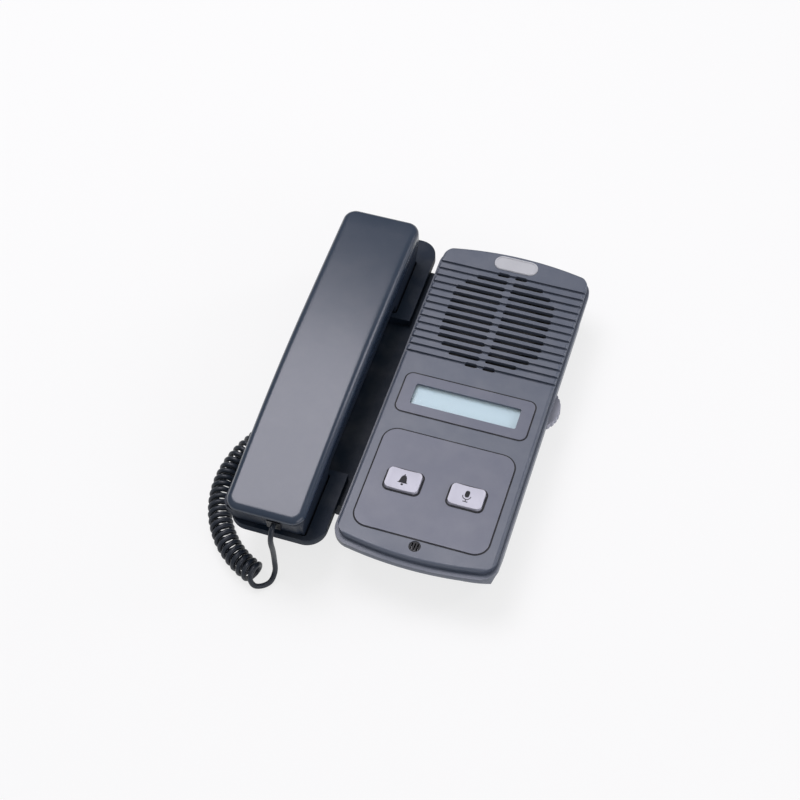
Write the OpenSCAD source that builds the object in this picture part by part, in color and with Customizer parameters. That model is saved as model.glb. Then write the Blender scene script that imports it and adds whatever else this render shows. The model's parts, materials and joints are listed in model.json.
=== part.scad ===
// Desk intercom station: speaker unit with display and two keys, joined to a handset cradle.
// Millimetres. Z is up from the desk, Y runs away from the user, X to the right.
// The origin is on the desk under the middle of the station, without its cord.

/* [Speaker unit] */
// Width of the rim of the speaker unit
main_w = 91; // [89:0.5:100]
// Length of the rim of the speaker unit, over its two arched ends
main_l = 215.5; // [205:0.5:235]
// Height of the top face above the desk
face_z = 35; // [34:0.5:42]
// Rise of the arched ends above their corners
arch_rise = 5; // [3:0.5:8]
// Corner radius of the rim
rim_r = 11; // [9:0.5:14]
// Width of the ledge that the rim leaves on either side of the raised cover
ledge = 1.5; // [1:0.25:2.5]
// Width of the ledge in front of the cover
ledge_near = 3; // [2:0.25:4]
// Width of the ledge behind the cover
ledge_far = 0.5; // [0.5:0.25:2]
// Height of the cover above the rim
cover_h = 4; // [3.5:0.25:6]
// Height of the rim's edge
rim_h = 3.5; // [3:0.25:6]
// Rounding of the cover's upper edge
edge_r = 1.6; // [0.8:0.2:2.2]
// Wall thickness of the mouldings
wall = 2.5; // [2:0.25:3]
// How far the tub below the rim is set in at the sides
tub_side = 1.5; // [1:0.25:2.5]
// How far the tub is set in at its bottom edge
tub_taper = 5; // [3:0.5:6]
// Corner radius of the tub
tub_r = 24; // [18:1:26]
// How far the tub's front slopes back from the rim to its bottom edge
tub_front = 19; // [14:0.5:20]
// How far the tub's back slopes in from the rim to its bottom edge
tub_back = 11; // [8:0.5:12]

/* [Speaker grille] */
// Number of grooves across the cover
groove_n = 14; // [10:1:14]
// Pitch of the grooves
groove_pitch = 5.2; // [4.8:0.1:5.4]
// Width of a groove
groove_w = 2; // [1.4:0.1:2.2]
// Depth of a groove
groove_d = 1.5; // [0.8:0.1:1.6]
// Distance from the unit's far end to the middle of the grille
grille_in = 50.5; // [49:0.5:52]
// Radius of the slotted field
grille_r = 35; // [34:0.5:36]
// Longest slot, both halves and the rib between them
grille_w = 61; // [54:1:66]
// Width of a slot
slot_w = 3; // [2.4:0.1:3.2]
// Width of the rib that parts the slots in the middle
rib_w = 3; // [2:0.25:5]
// Diameter of the loudspeaker
speaker_d = 77; // [75:0.5:78]
// Depth of the loudspeaker
speaker_h = 21; // [19:0.5:22]

/* [Badge, display and microphone] */
// Length of the oval badge
badge_w = 26; // [20:1:32]
// Height of the oval badge
badge_h = 10; // [8:0.5:11]
// Distance from the unit's far end to the middle of the badge
badge_in = 8; // [7.5:0.5:9]
// Width of the display frame
frame_w = 75; // [72:1:78]
// Height of the display frame
frame_h = 26; // [24:0.5:28]
// Place of the display between the key plate, at 0, and the grille, at 1
frame_share = 0.486; // [0.45:0.002:0.52]
// Width of the display window
window_w = 61; // [54:1:64]
// Height of the display window
window_h = 13.8; // [12:0.2:15]
// Distance from the unit's near end to the microphone
mic_in = 10.5; // [10:0.25:11]
// Diameter of the microphone hole
mic_d = 6.6; // [6:0.2:7]

/* [Keys] */
// Width of the key plate
plate_w = 74.6; // [72:0.2:78]
// Length of the key plate, as a share of the unit's length
plate_share = 0.294; // [0.27:0.002:0.3]
// Distance from the unit's near end to the key plate
plate_in = 14.9; // [14:0.1:16]
// Width of a key cap
key_w = 18.8; // [14:0.2:20]
// Length of a key cap
key_l = 12.6; // [10:0.2:14]
// Distance from the side of the key plate to the middle of a key
key_in = 19.5; // [17:0.5:22]
// How far a key cap stands above the key plate
key_up = 2.2; // [1.8:0.1:3]
// Travel of a key
key_travel = 1.5; // [1:0.1:1.6]

/* [Volume wheel] */
// Radius of the volume wheel
wheel_r = 15; // [13:0.5:15.5]
// Thickness of the volume wheel
wheel_h = 4.5; // [3.5:0.25:5]
// How far the wheel stands out past the rim
wheel_out = 4; // [3:0.5:5]
// Distance from the unit's middle to the wheel
wheel_y = 15.25; // [12:0.25:17]
// Number of finger notches around the wheel
wheel_notches = 30; // [20:2:40]

/* [Cradle] */
// Width of the cradle
cradle_w = 54; // [52:0.5:60]
// Length of the cradle
cradle_l = 215; // [214:0.5:222]
// How far the cradle's middle lies in front of the speaker unit's middle
cradle_back = 1.75; // [1:0.25:3]
// Corner radius of the cradle
cradle_r = 11; // [9:0.5:14]
// Height of the cradle's rim above the desk
cradle_z = 31; // [30:0.5:34]
// Depth of the pockets that hold the handset
pocket_d = 4; // [3:0.25:5]
// Gap between the cradle and the rim of the speaker unit
side_gap = 3.5; // [2:0.25:6]
// How much shorter the bridge between the two housings is than the speaker unit
bridge_short = 47.5; // [36:0.5:90]

/* [Handset] */
// Width of the handset
hand_w = 46; // [43:0.5:48]
// Length of the handset
hand_l = 209; // [205:1:212]
// How far the handset's middle lies in front of the speaker unit's middle
hand_back = 8.55; // [7:0.05:10]
// How far the handset's middle lies left of the cradle's middle
hand_left = 3.5; // [2:0.25:3.8]
// Height of the handset at its two ends
hand_h = 33.7; // [32:0.1:40]
// Thickness of the handset's grip
grip_h = 20; // [18:0.5:22]
// Length of the hollow under the grip
grip_l = 118; // [100:1:124]
// Thickness of the handset's upper shell
lid_h = 11; // [9:0.5:11]
// Corner radius of the handset
hand_r = 9; // [7:0.5:12]
// How far the end walls of the handset lean in
end_lean = 8; // [5:0.5:9]

/* [Cord] */
// Diameter of the cord
cord_d = 3; // [2.6:0.1:3.2]
// Outer diameter of the curls
curl_d = 13.6; // [12:0.2:13.6]
// Number of curls
curl_n = 33; // [20:1:33]

/* [Hidden] */
$fn = 64;
arch_fn = 360;
corner_n = 8;
corner_kink = 6;
eps = 0.02;

// Clearances: loose pieces, seated pieces, pieces that move past each other
loose = 0.3;
snug = 0.1;
run_gap = 0.35;

// Places of the three main groups, so that the station is centred on the origin
total_w = cradle_w + side_gap + main_w + wheel_out;
main_x = total_w / 2 - wheel_out - main_w / 2;
main_y = (hand_l / 2 + hand_back - main_l / 2) / 2;
cradle_x = cradle_w / 2 - total_w / 2;
cradle_y = main_y - cradle_back;
hand_x = cradle_x - hand_left;
hand_y = main_y - hand_back;

// Heights in the speaker unit
foot_h = 3;
rim_z = face_z - cover_h;
tub_z = rim_z - rim_h;
tub_mid_z = foot_h + 11;
floor_z = foot_h + wall;
roof_z = face_z - wall;
tub_lip = 2;
tub_over = 1;

// Cover outline and recesses
cover_w = main_w - 2 * ledge;
cover_l = main_l - ledge_near - ledge_far;
cover_y = (ledge_near - ledge_far) / 2;
cover_r = rim_r - ledge;
recess_d = 1.2;
plate_r = 8;
frame_r = 4;
seam = 0.6;
cover_sink = 0.8;

// Places along the unit, from its middle
grille_y = main_l / 2 - grille_in;
grille_near = grille_y - (groove_n - 1) / 2 * groove_pitch - groove_w / 2;
badge_y = main_l / 2 - badge_in;
mic_y = mic_in - main_l / 2;
plate_l = main_l * plate_share;
plate_y = plate_in + plate_l / 2 - main_l / 2;
plate_far = plate_y + plate_l / 2;
frame_y = plate_far + frame_share * (grille_near - plate_far);
key_pitch = plate_w - 2 * key_in;
bridge_l = main_l - bridge_short;

// Display
lens_t = 1.5;
module_w = 72;
module_l = 26;
module_t = 4;
pcb_t = 1.6;
glass_margin = 4;

// Case screws: places from the unit's middle, head seat height and sizes
boss_r = 4;
boss_in = 11;
boss_far_in = 20.5;
boss_near_in = 27;
boss_module_gap = 2.5;
boss_mid_y = frame_y - module_l / 2 - boss_module_gap - boss_r;
screw_xy = [
  for (x = [-1, 1])
    for (y = [main_l / 2 - boss_far_in, boss_mid_y, boss_near_in - main_l / 2])
      [x * (main_w / 2 - boss_in), y]
];
boss_z = 22;
screw_seat_z = 16;
screw_d = 2.5;
screw_head_d = 5;
screw_head_h = 2;
screw_bite = 6;

// Main board
board_w = 60;
board_share = 0.427;
board_in = 27;
board_l = main_l * board_share;
board_y = board_in + board_l / 2 - main_l / 2;
board_z = floor_z + 3.5;
board_t = 1.6;
post_r = 3;
board_hole_in = 5;
board_xy = [
  for (x = [-1, 1])
    for (y = [-1, 1])
      [x * (board_w / 2 - board_hole_in), board_y + y * (board_l / 2 - board_hole_in)]
];
// Parts on the board: place, width, length and height
board_chips = [
  [-12, 20, 14, 14, 1.6], [12, 24, 10, 12, 1.6], [10, -8, 18, 9, 2], [-16, -20, 9, 12, 6]
];

// Loudspeaker
gasket_h = 1;
collar_t = 1.6;
speaker_r = speaker_d / 2;
speaker_z = roof_z - gasket_h;
flange_t = 1.5;
magnet_r = 20;
magnet_h = 9;
basket_r = 22;
basket_t = 1.5;
basket_hole_r = 8;
cone_t = 0.8;
cone_drop = 6.4;
cap_edge_r = 8;
cap_drop = 4;
clamp_a = [60, 120, 235, 305];
clamp_reach = 5;
clamp_tail = 3;
clamp_w = 7;
clamp_t = 1.2;
clamp_boss_r = 2.6;

// Keys
cap_r = 2.5;
dish_r = 60;
dish_d = 0.5;
skirt = 1;
skirt_h = 1.2;
stem_r = 2.5;
switch_h = 4.3;
switch_w = 6;
key_board_z = 19;
stem_z = key_board_z + pcb_t + switch_h + key_travel + run_gap;
key_board_w = 56;
key_board_l = 30;
key_tower_x = 24;

// Microphone
mic_can_r = 3;
mic_can_h = 3;
mic_boot_r = 4;
mic_boot_h = 5;

// Volume wheel and its control
wheel_x = main_w / 2 + wheel_out - wheel_r;
wheel_z = 18.5;
shaft_r = 2;
shaft_gap = 0.05;
pot_w = 9.5;
pot_h = 6;
pot_z = wheel_z - pot_h - 0.5;
notch_r = 0.7;
pot_post = 7;

// Network socket
jack_w = 16;
jack_l = 16;
jack_h = 13.6;
port_w = 11.8;
port_h = 8;
port_d = 12;
tub_rear = main_l / 2 - tub_back;
jack_z = floor_z;

// Cradle
band_h = 5;
band_z = cradle_z - band_h;
band_in = 3;
cradle_front_in = 20;
cradle_rear_in = 8;
cradle_tub_w = cradle_w - 2 * band_in;
cavity_w = 36;
cavity_l = 164;
cavity_z = cradle_z - pocket_d - 4.5;
cavity_y = 4;
cavity_r = 4;
cradle_floor_t = 3;
pocket_gap = 1.5;
pocket_z = cradle_z - pocket_d;
grip_cut = 6;
cradle_post_r = 3.5;
cradle_post_in = 4.5;
cradle_post_xy = [
  for (x = [-1, 1])
    for (y = [-1, 1])
      [x * (cavity_w / 2 - cradle_post_in), cavity_y + y * (cavity_l / 2 - cradle_post_in)]
];

// Bridge between the two housings
bridge_z0 = tub_mid_z + 0.5;
bridge_z1 = tub_z - 2;
bridge_y = 4;
bridge_left = cradle_x + cradle_tub_w / 2;
bridge_right = main_x - main_w / 2 + tub_side;
bridge_screw_in = 18;
bridge_cradle_in = 16;
bridge_bite = 3.6;
bridge_step = 8;
bridge_cradle_y = [bridge_cradle_in - cavity_l / 2, cavity_l / 2 - bridge_cradle_in];
bridge_screw_y = [bridge_screw_in - bridge_l / 2, bridge_l / 2 - bridge_screw_in];
bridge_hole_z = (bridge_z0 + bridge_z1) / 2;

// Hook switch
hook_y = 65;
plunger_r = 4.3;
plunger_rise = 4;
plunger_flange = 1.8;
plunger_flange_h = 1.5;
plunger_stem_r = 2;
plunger_low = cavity_z - plunger_rise - loose - plunger_flange_h;
hook_switch_h = 5;
hook_base_z = foot_h + cradle_floor_t;
spring_r = 4;
spring_t = 1;

// Handset
rest_gap = 0.3;
hand_z = pocket_z + rest_gap;
hand_top = hand_z + hand_h;
lid_z = hand_top - lid_h;
grip_z = hand_top - grip_h;
hand_wall = 2.2;
hand_edge_r = 4;
seat_in = 3;
hollow_r = 8;
ear_r = 15;
ear_h = 9;
mouth_r = 8;
mouth_h = 6;
sound_hole_r = 1.3;
hand_screw_y = [-46, 46];
hand_post_r = 3.2;
lean_per_mm = end_lean / hand_h;

// Cord sockets and plugs
plug_w = 7.6;
plug_h = 6.2;
plug_in = 8;
plug_out = 4;
socket_wall = 1.4;
socket_l = plug_in + 2;
socket_w = plug_w + 2 * socket_wall;
socket_h = plug_h + 2 * socket_wall;
socket_z = 18.8;
socket_off = 10;
exit_drop = 16.5;
exit_off = 6.5;
exit_z = hand_top - exit_drop;
exit_y = hand_y - hand_l / 2 + lean_per_mm * (exit_drop + socket_h / 2);
wall_x = cradle_x - cradle_tub_w / 2;
socket_y = cradle_y + socket_off;
hand_plug_face = [hand_x + exit_off, exit_y - plug_out, exit_z];
wall_plug_face = [wall_x - plug_out, socket_y, socket_z];

// Axis of the curls: an arc, a counter arc and a straight, laid on the desk
curl_z = 7.1;
arc_right = 34.45;
arc_back = 40.45;
arc_c = [wall_x + arc_right, hand_y - hand_l / 2 + arc_back];
arc_r = 54;
arc_from = 251;
arc_turn = 99;
back_r = 40;
back_turn = 28;
straight_l = 21;
curl_rings = 8;
curl_sides = 6;
lead_sides = 8;
coil_r = (curl_d - cord_d) / 2;
arc_len = arc_r * arc_turn * PI / 180;
back_len = back_r * back_turn * PI / 180;
curl_len = arc_len + back_len + straight_l;
start_phase = 90;
turns = curl_n - 0.25;

// First loop of the cord, from the top of the first curl down to the desk, by its places from the
// foot of the curls' axis
loop_low = [
  [-0.6, -3.2, 11.3], [-0.6, -5, 8.9], [0.4, -5.8, 6], [2.2, -5.6, 3.5], [4.8, -4, 2.1], [7.4, -1.6, 1.7]
];
// Handset lead: on from the loop, by its places from the same foot, and up to the handset, by its
// places from the face of the plug
lead_low = [[8.8, 1, 2], [9.5, 3.6, 4], [9.8, 5.6, 7.6]];
lead_high = [
  [-0.7, -4.6, -30], [-0.5, -4.6, -24], [-0.2, -5.2, -17], [0, -6, -11], [0, -6, -6.6],
  [0, -4.8, -2.8], [0, -2.8, -0.5]
];
// Cradle lead: to the plug in the cradle's left wall, by its places from the plug's face
lead_wall = [[-9.9, -14.2, -5.2], [-9.5, -10.2, -2], [-8, -5.2, -0.4], [-5.5, -1.4, 0]];

// Plan shapes
module rrect(w, l, r) {
  square([w - 2 * r, l], center = true);
  square([w, l - 2 * r], center = true);
  for (x = [-1, 1])
    for (y = [-1, 1])
      translate([x * (w / 2 - r), y * (l / 2 - r)]) circle(r);
}

function arch_radius(w, rise) = (w * w / 4 + rise * rise) / (2 * rise);

// Quarter of a box with round corners, open for an arch over its end: the corner ends a little
// before it would run into the arch, and its tangent goes on to the middle line
function corner_points(w, l, rise, r) =
  let (ra = arch_radius(w, rise), yc = l / 2 - ra, cx = w / 2 - r)
  let (cy = yc + sqrt((ra - r) * (ra - r) - cx * cx), last = atan2(cy - yc, cx) - corner_kink)
  let (arc = [for (i = [0:corner_n]) [cx, cy] + r * [cos(last * i / corner_n), sin(last * i / corner_n)]])
  concat(arc, [[0, arc[corner_n][1] + arc[corner_n][0] / tan(last)]]);

// The box between the two arches, all around
module corner_box(w, l, rise, r) {
  q = corner_points(w, l, rise, r);
  n = len(q);
  polygon([
    each q,
    for (i = [n - 2:-1:0]) [-q[i][0], q[i][1]],
    for (i = [0:n - 1]) [-q[i][0], -q[i][1]],
    for (i = [n - 2:-1:0]) [q[i][0], -q[i][1]]
  ]);
}

// Rectangle with two arched ends and round corners
module arched(w, l, rise, r) {
  ra = arch_radius(w, rise);
  intersection() {
    corner_box(w, l, rise, r);
    translate([0, l / 2 - ra]) circle(ra, $fn = arch_fn);
    translate([0, ra - l / 2]) circle(ra, $fn = arch_fn);
  }
}

// Upright section, w wide and h high, with its two upper corners rounded
module top_round(w, h, r) {
  translate([-w / 2, 0]) square([w, h - r]);
  translate([r - w / 2, 0]) square([w - 2 * r, h]);
  for (x = [-1, 1])
    translate([x * (w / 2 - r), h - r]) circle(r);
}

module at_main(x = 0, y = 0, z = 0) translate([main_x + x, main_y + y, z]) children();
module at_cradle(x = 0, y = 0, z = 0) translate([cradle_x + x, cradle_y + y, z]) children();
module at_hand(x = 0, y = 0, z = 0) translate([hand_x + x, hand_y + y, z]) children();
module slab(z0, z1) translate([0, 0, z0]) linear_extrude(z1 - z0) children();
module peg(x, y, z0, z1, r) translate([x, y, z0]) cylinder(h = z1 - z0, r = r);

// Speaker unit: base
function tub_in(z, bottom) = tub_lip + (bottom - tub_lip) * (tub_z - z) / (tub_z - foot_h);

// Tub between the rim and the desk: plan outline, cut by a sloped front and back and by leaning sides
module tub(inset, z0, z1) {
  lean = tub_taper / (tub_mid_z - foot_h);
  half = main_w / 2 - tub_side - inset;
  low_w = half - tub_taper + lean * (z0 - foot_h);
  high_w = low_w + lean * (z1 - z0);
  front = main_l / 2 - inset + tub_over;
  intersection() {
    slab(z0, z1)
      arched(2 * half, main_l - 2 * (tub_lip + inset), arch_rise, tub_r - inset);
    translate([-main_w / 2, 0, 0]) rotate([90, 0, 90]) linear_extrude(main_w) polygon([
      [tub_in(z0, tub_front) - front, z0], [front - tub_in(z0, tub_back), z0],
      [front - tub_in(z1, tub_back), z1], [tub_in(z1, tub_front) - front, z1]
    ]);
    translate([0, main_l / 2, 0]) rotate([90, 0, 0]) linear_extrude(main_l)
      polygon([[-low_w, z0], [low_w, z0], [high_w, z1], [-high_w, z1]]);
  }
}

inner_x = main_w / 2 - tub_side - wall;
wheel_slot = sqrt(wheel_r * wheel_r - (inner_x - wheel_x) * (inner_x - wheel_x)) + 1;
foot_side_in = 13;
foot_near_in = 14;
foot_far_in = 17.5;
main_foot_x = main_w / 2 - tub_side - tub_taper - foot_side_in;
main_foot_xy = [
  for (x = [-1, 1])
    for (y = [tub_front + foot_near_in - main_l / 2, tub_rear - foot_far_in])
      [x * main_foot_x, y]
];
foot_r = 6;
foot_sink = 0.6;
foot_edge = 1;

module base_shell() color("#5d6470") at_main() {
  difference() {
    union() {
      difference() {
        union() {
          slab(tub_z, rim_z) arched(main_w, main_l, arch_rise, rim_r);
          tub(0, foot_h, tub_z + 1);
        }
        tub(wall, floor_z, rim_z + 1);
      }
      for (p = screw_xy)
        peg(p[0], p[1], floor_z - eps, boss_z, boss_r);
      for (p = board_xy)
        peg(p[0], p[1], floor_z - eps, board_z, post_r);
      translate([wheel_x - pot_post / 2, wheel_y - pot_post / 2, floor_z - eps])
        cube([pot_post, pot_post, pot_z - floor_z + eps]);
    }
    for (p = screw_xy) {
      peg(p[0], p[1], foot_h - 1, screw_seat_z, screw_head_d / 2 + loose);
      peg(p[0], p[1], screw_seat_z - 1, boss_z + 1, screw_d / 2 + snug);
    }
    for (p = board_xy)
      peg(p[0], p[1], floor_z + 0.5, board_z + 1, screw_d / 2 + eps);
    for (p = main_foot_xy)
      peg(p[0], p[1], foot_h - 1, foot_h + foot_sink, foot_r + snug);
    translate([inner_x - 1, wheel_y - wheel_slot, wheel_z - run_gap])
      cube([main_w / 2, 2 * wheel_slot, wheel_h + 2 * run_gap]);
    translate([-jack_w / 2 - snug, tub_rear - wall, jack_z])
      cube([jack_w + 2 * snug, tub_back + wall + 1, jack_h + snug]);
    for (y = bridge_screw_y)
      translate([-inner_x - wall - 1, bridge_y + y + bridge_step, bridge_hole_z])
        rotate([0, 90, 0]) cylinder(h = wall + 2, r = screw_d / 2 + snug);
  }
}

// Speaker unit: cover
module cover_solid() intersection() {
  slab(rim_z, face_z) corner_box(cover_w, cover_l, arch_rise, cover_r);
  translate([0, cover_l / 2 + 1, rim_z]) rotate([90, 0, 0])
    linear_extrude(cover_l + 2) top_round(cover_w, cover_h, edge_r);
  cover_end(1);
  cover_end(-1);
}

// Corner that is left over where a circle of radius r rounds it
module round_off(r) difference() {
  square(r + 1);
  circle(r);
}

// Round plate whose edge is one arched end of the cover
module cover_end(side) {
  ra = arch_radius(cover_w, arch_rise);
  translate([0, side * (cover_l / 2 - ra), rim_z]) rotate_extrude($fn = arch_fn) difference() {
    square([ra, cover_h]);
    translate([ra - edge_r, cover_h - edge_r]) round_off(edge_r);
  }
}

function groove_at(i) = grille_y + (i - (groove_n - 1) / 2) * groove_pitch;
function chord_half(r, d) = sqrt(max(1, r * r - d * d));
function slot_half(y) = min(grille_w / 2, chord_half(grille_r, y - grille_y));

// One row of the grille: two slots with round ends, parted by the rib
module slot_row(y) {
  r = slot_w / 2;
  half = slot_half(y);
  if (half > rib_w / 2 + 2 * slot_w)
    for (s = [-1, 1]) {
      translate([s * (half + rib_w / 2) / 2, y]) square([half - rib_w / 2 - slot_w, slot_w], center = true);
      for (x = [rib_w / 2 + r, half - r])
        translate([s * x, y]) circle(r);
    }
}

module key_spots() for (x = [-1, 1]) translate([x * key_pitch / 2, plate_y]) children();
module key_outline(grow) rrect(key_w + 2 * grow, key_l + 2 * grow, cap_r + grow);
module lens_outline(grow)
  square([window_w + 2 * (glass_margin + grow), window_h + 2 * (glass_margin + grow)], center = true);
module badge_outline(grow) rrect(badge_w + 2 * grow, badge_h + 2 * grow, badge_h / 2 + grow - eps);

module_post_r = 2;
module_post_in = 2;
module_xy = [
  for (x = [-1, 1])
    for (y = [-1, 1])
      [x * (module_w / 2 - module_post_in), frame_y + y * (module_l / 2 - module_post_in)]
];
module_z = face_z - recess_d - lens_t - module_t;
key_tower_xy = [for (x = [-1, 1]) [x * key_tower_x, plate_y - key_board_l / 2 + 4]];
clamp_r = speaker_r + clamp_reach;
mic_collar_r = mic_boot_r + 1.4;

module front_cover() color("#697080") at_main() {
  difference() {
    union() {
      difference() {
        translate([0, cover_y, 0]) cover_solid();
        translate([0, cover_y, 0]) slab(rim_z - 1, roof_z)
          arched(cover_w - 2 * wall, cover_l - 2 * wall, arch_rise, cover_r - wall);
      }
      translate([0, grille_y, 0]) {
        slab(speaker_z - flange_t, roof_z + eps) difference() {
          circle(speaker_r + snug + collar_t);
          circle(speaker_r + snug);
        }
        for (a = clamp_a)
          rotate(a) peg(clamp_r, 0, speaker_z - flange_t, roof_z + eps, clamp_boss_r);
      }
      for (p = screw_xy)
        peg(p[0], p[1], boss_z, roof_z + eps, boss_r);
      for (p = module_xy)
        peg(p[0], p[1], module_z, roof_z + eps, module_post_r);
      for (p = key_tower_xy)
        peg(p[0], p[1], key_board_z + pcb_t, roof_z + eps, post_r);
      peg(0, mic_y, roof_z - mic_boot_h, roof_z + eps, mic_collar_r);
    }
    for (i = [0:groove_n - 1])
      translate([-main_w / 2, groove_at(i) - groove_w / 2, face_z - groove_d])
        cube([main_w, groove_w, groove_d + 1]);
    slab(roof_z - 0.5, face_z + 1) for (i = [0:groove_n - 1]) slot_row(groove_at(i));
    slab(face_z - cover_sink, face_z + 1) translate([0, badge_y]) badge_outline(snug);
    slab(face_z - recess_d, face_z + 1)
      translate([0, frame_y]) rrect(frame_w + 2 * seam, frame_h + 2 * seam, frame_r + seam);
    slab(roof_z - 1, face_z) translate([0, frame_y]) lens_outline(snug);
    slab(face_z - recess_d, face_z + 1)
      translate([0, plate_y]) rrect(plate_w + 2 * seam, plate_l + 2 * seam, plate_r + seam);
    slab(roof_z - 1, face_z) key_spots() key_outline(skirt + run_gap);
    peg(0, mic_y, roof_z - 1, face_z + 1, mic_d / 2);
    peg(0, mic_y, roof_z - mic_boot_h - 1, roof_z, mic_boot_r + snug);
    for (p = screw_xy)
      peg(p[0], p[1], boss_z - 1, boss_z + screw_bite + loose, screw_d / 2 + eps);
    for (p = key_tower_xy)
      peg(p[0], p[1], key_board_z, key_board_z + pcb_t + screw_bite, screw_d / 2 + eps);
    translate([0, grille_y, 0]) for (a = clamp_a)
      rotate(a) peg(clamp_r, 0, speaker_z - flange_t - 1, roof_z - 0.4, screw_d / 2 + eps);
  }
}

module badge_plate() color("#c9ccd0") at_main(0, badge_y) {
  slab(face_z - cover_sink, face_z + 0.4) badge_outline(0);
  slab(face_z + 0.4 - eps, face_z + 0.7) difference() {
    badge_outline(-0.3);
    badge_outline(-1);
  }
}

module display_frame() color("#777a84") at_main(0, frame_y)
  slab(face_z - recess_d, face_z + 0.3) difference() {
    rrect(frame_w, frame_h, frame_r);
    rrect(window_w, window_h, 1);
  }

module display_lens() color("#b8d4d8") at_main(0, frame_y)
  slab(face_z - recess_d - lens_t, face_z - recess_d)
    lens_outline(0);

// Display: glass cell in its metal frame, on a small board
module display_module() color("#7f8f86") at_main(0, frame_y) {
  slab(module_z - eps, module_z + module_t) square([window_w + 1, module_l - 4], center = true);
  slab(module_z - pcb_t, module_z) square([module_w, module_l], center = true);
}

// Keys
module key_plate() color("#6f7482") at_main()
  slab(face_z - recess_d, face_z + 0.4) difference() {
    translate([0, plate_y]) rrect(plate_w, plate_l, plate_r);
    key_spots() key_outline(run_gap);
  }

// Cap with a shallow dish in its face, a skirt that holds it under the plate and a stem
module key_cap(side) at_main(side * key_pitch / 2, plate_y) {
  top = face_z + 0.4 + key_up;
  skirt_top = face_z - recess_d - loose;
  difference() {
    slab(skirt_top - skirt_h, top) key_outline(0);
    translate([0, 0, top + dish_r - dish_d]) rotate([90, 0, 0])
      cylinder(h = 2 * key_l, r = dish_r, center = true, $fn = arch_fn);
  }
  slab(skirt_top - skirt_h, skirt_top) key_outline(skirt);
  peg(0, 0, stem_z, skirt_top - skirt_h + eps, stem_r);
}

module call_key() color("#b9bcc4") key_cap(-1);
module talk_key() color("#b9bcc4") key_cap(1);

module key_board() color("#2f6b45") at_main() {
  difference() {
    translate([0, plate_y, key_board_z]) slab(0, pcb_t) square([key_board_w, key_board_l], center = true);
    for (p = key_tower_xy)
      peg(p[0], p[1], key_board_z - 1, key_board_z + pcb_t + 1, screw_d / 2 + snug);
  }
}

module key_switches() color("#26282c") at_main() {
  z = key_board_z + pcb_t;
  key_spots() {
    slab(z, z + switch_h - 1) square(switch_w, center = true);
    peg(0, 0, z, z + switch_h, 1.7);
  }
}

// Microphone
module mic_insert() color("#2a2d33") at_main(0, mic_y) difference() {
  union() {
    peg(0, 0, roof_z - 0.6, face_z - 0.4, mic_d / 2 - snug);
    peg(0, 0, roof_z - 0.6, roof_z, mic_boot_r);
  }
  for (x = [-1.6, 0, 1.6])
    translate([x, 0, roof_z]) cube([0.8, mic_d - 3 + 0.6, 3 * wall], center = true);
}

module mic_boot() color("#1b1c1f") at_main(0, mic_y) difference() {
  peg(0, 0, roof_z - mic_boot_h, roof_z - 0.6, mic_boot_r);
  peg(0, 0, roof_z - 0.6 - mic_can_h, roof_z, mic_can_r + eps);
}

module mic_capsule() color("#c0c2c6") at_main(0, mic_y)
  peg(0, 0, roof_z - 0.6 - mic_can_h, roof_z - 0.6, mic_can_r);

// Loudspeaker
cone_top = speaker_z;
basket_z = speaker_z - speaker_h + magnet_h;

module at_speaker() at_main(0, grille_y) children();

module speaker_gasket() color("#3a3a3c") at_speaker()
  slab(speaker_z, roof_z) difference() {
    circle(speaker_r);
    circle(speaker_r - 2);
  }

// Pressed frame: flange, four arms and the floor that carries the magnet
module speaker_basket() color("#8b9096") at_speaker() difference() {
  flange_z = speaker_z - flange_t;
  rotate_extrude() polygon([
    [basket_hole_r, basket_z], [basket_r + basket_t, basket_z],
    [speaker_r - basket_t, flange_z], [speaker_r, flange_z],
    [speaker_r, speaker_z], [speaker_r - 3 * basket_t, speaker_z],
    [speaker_r - 3 * basket_t, flange_z], [speaker_r - 2 * basket_t, flange_z],
    [basket_r, basket_z + basket_t], [basket_hole_r, basket_z + basket_t]
  ]);
  for (a = [45:90:315])
    rotate(a) translate([basket_r + 1, -9, basket_z + 2]) cube([speaker_r, 18, flange_z - basket_z - 3]);
}

// Paper cone with its rolled surround and dust cap
module speaker_cone() color("#1d1e20") at_speaker() rotate_extrude() polygon([
  [0, cone_top - cap_drop], [cap_edge_r, cone_top - cone_drop],
  [speaker_r - 7, cone_top], [speaker_r - 2.4, cone_top],
  [speaker_r - 2.4, cone_top + 0.5], [speaker_r - 7.2, cone_top + 0.6],
  [cap_edge_r, cone_top - cone_drop + cone_t], [0, cone_top - cap_drop + cone_t]
]);

module speaker_magnet() color("#4a4c50") at_speaker()
  peg(0, 0, basket_z - magnet_h, basket_z, magnet_r);

// Clamps that hold the flange, each with its screw
module speaker_clamps() color("#b4b6ba") at_speaker() for (a = clamp_a) rotate(a) {
  z = speaker_z - flange_t;
  inner = speaker_r - basket_t + snug;
  translate([inner, -clamp_w / 2, z - clamp_t]) cube([clamp_r + clamp_tail - inner, clamp_w, clamp_t]);
  peg(clamp_r, 0, z - eps, z + 1.8, screw_d / 2);
  peg(clamp_r, 0, z - clamp_t - 1.5, z - clamp_t + eps, screw_head_d / 2);
}

// Main board with its parts, and its screws
module main_board() color("#2f6b45") at_main(0, board_y) difference() {
  union() {
    slab(board_z, board_z + board_t) square([board_w, board_l], center = true);
    for (c = board_chips)
      translate([c[0], c[1], board_z + board_t - eps])
        slab(0, c[4] + eps) square([c[2], c[3]], center = true);
  }
  for (p = board_xy)
    peg(p[0], p[1] - board_y, board_z - 1, board_z + board_t + 1, screw_d / 2 + snug);
}

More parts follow.
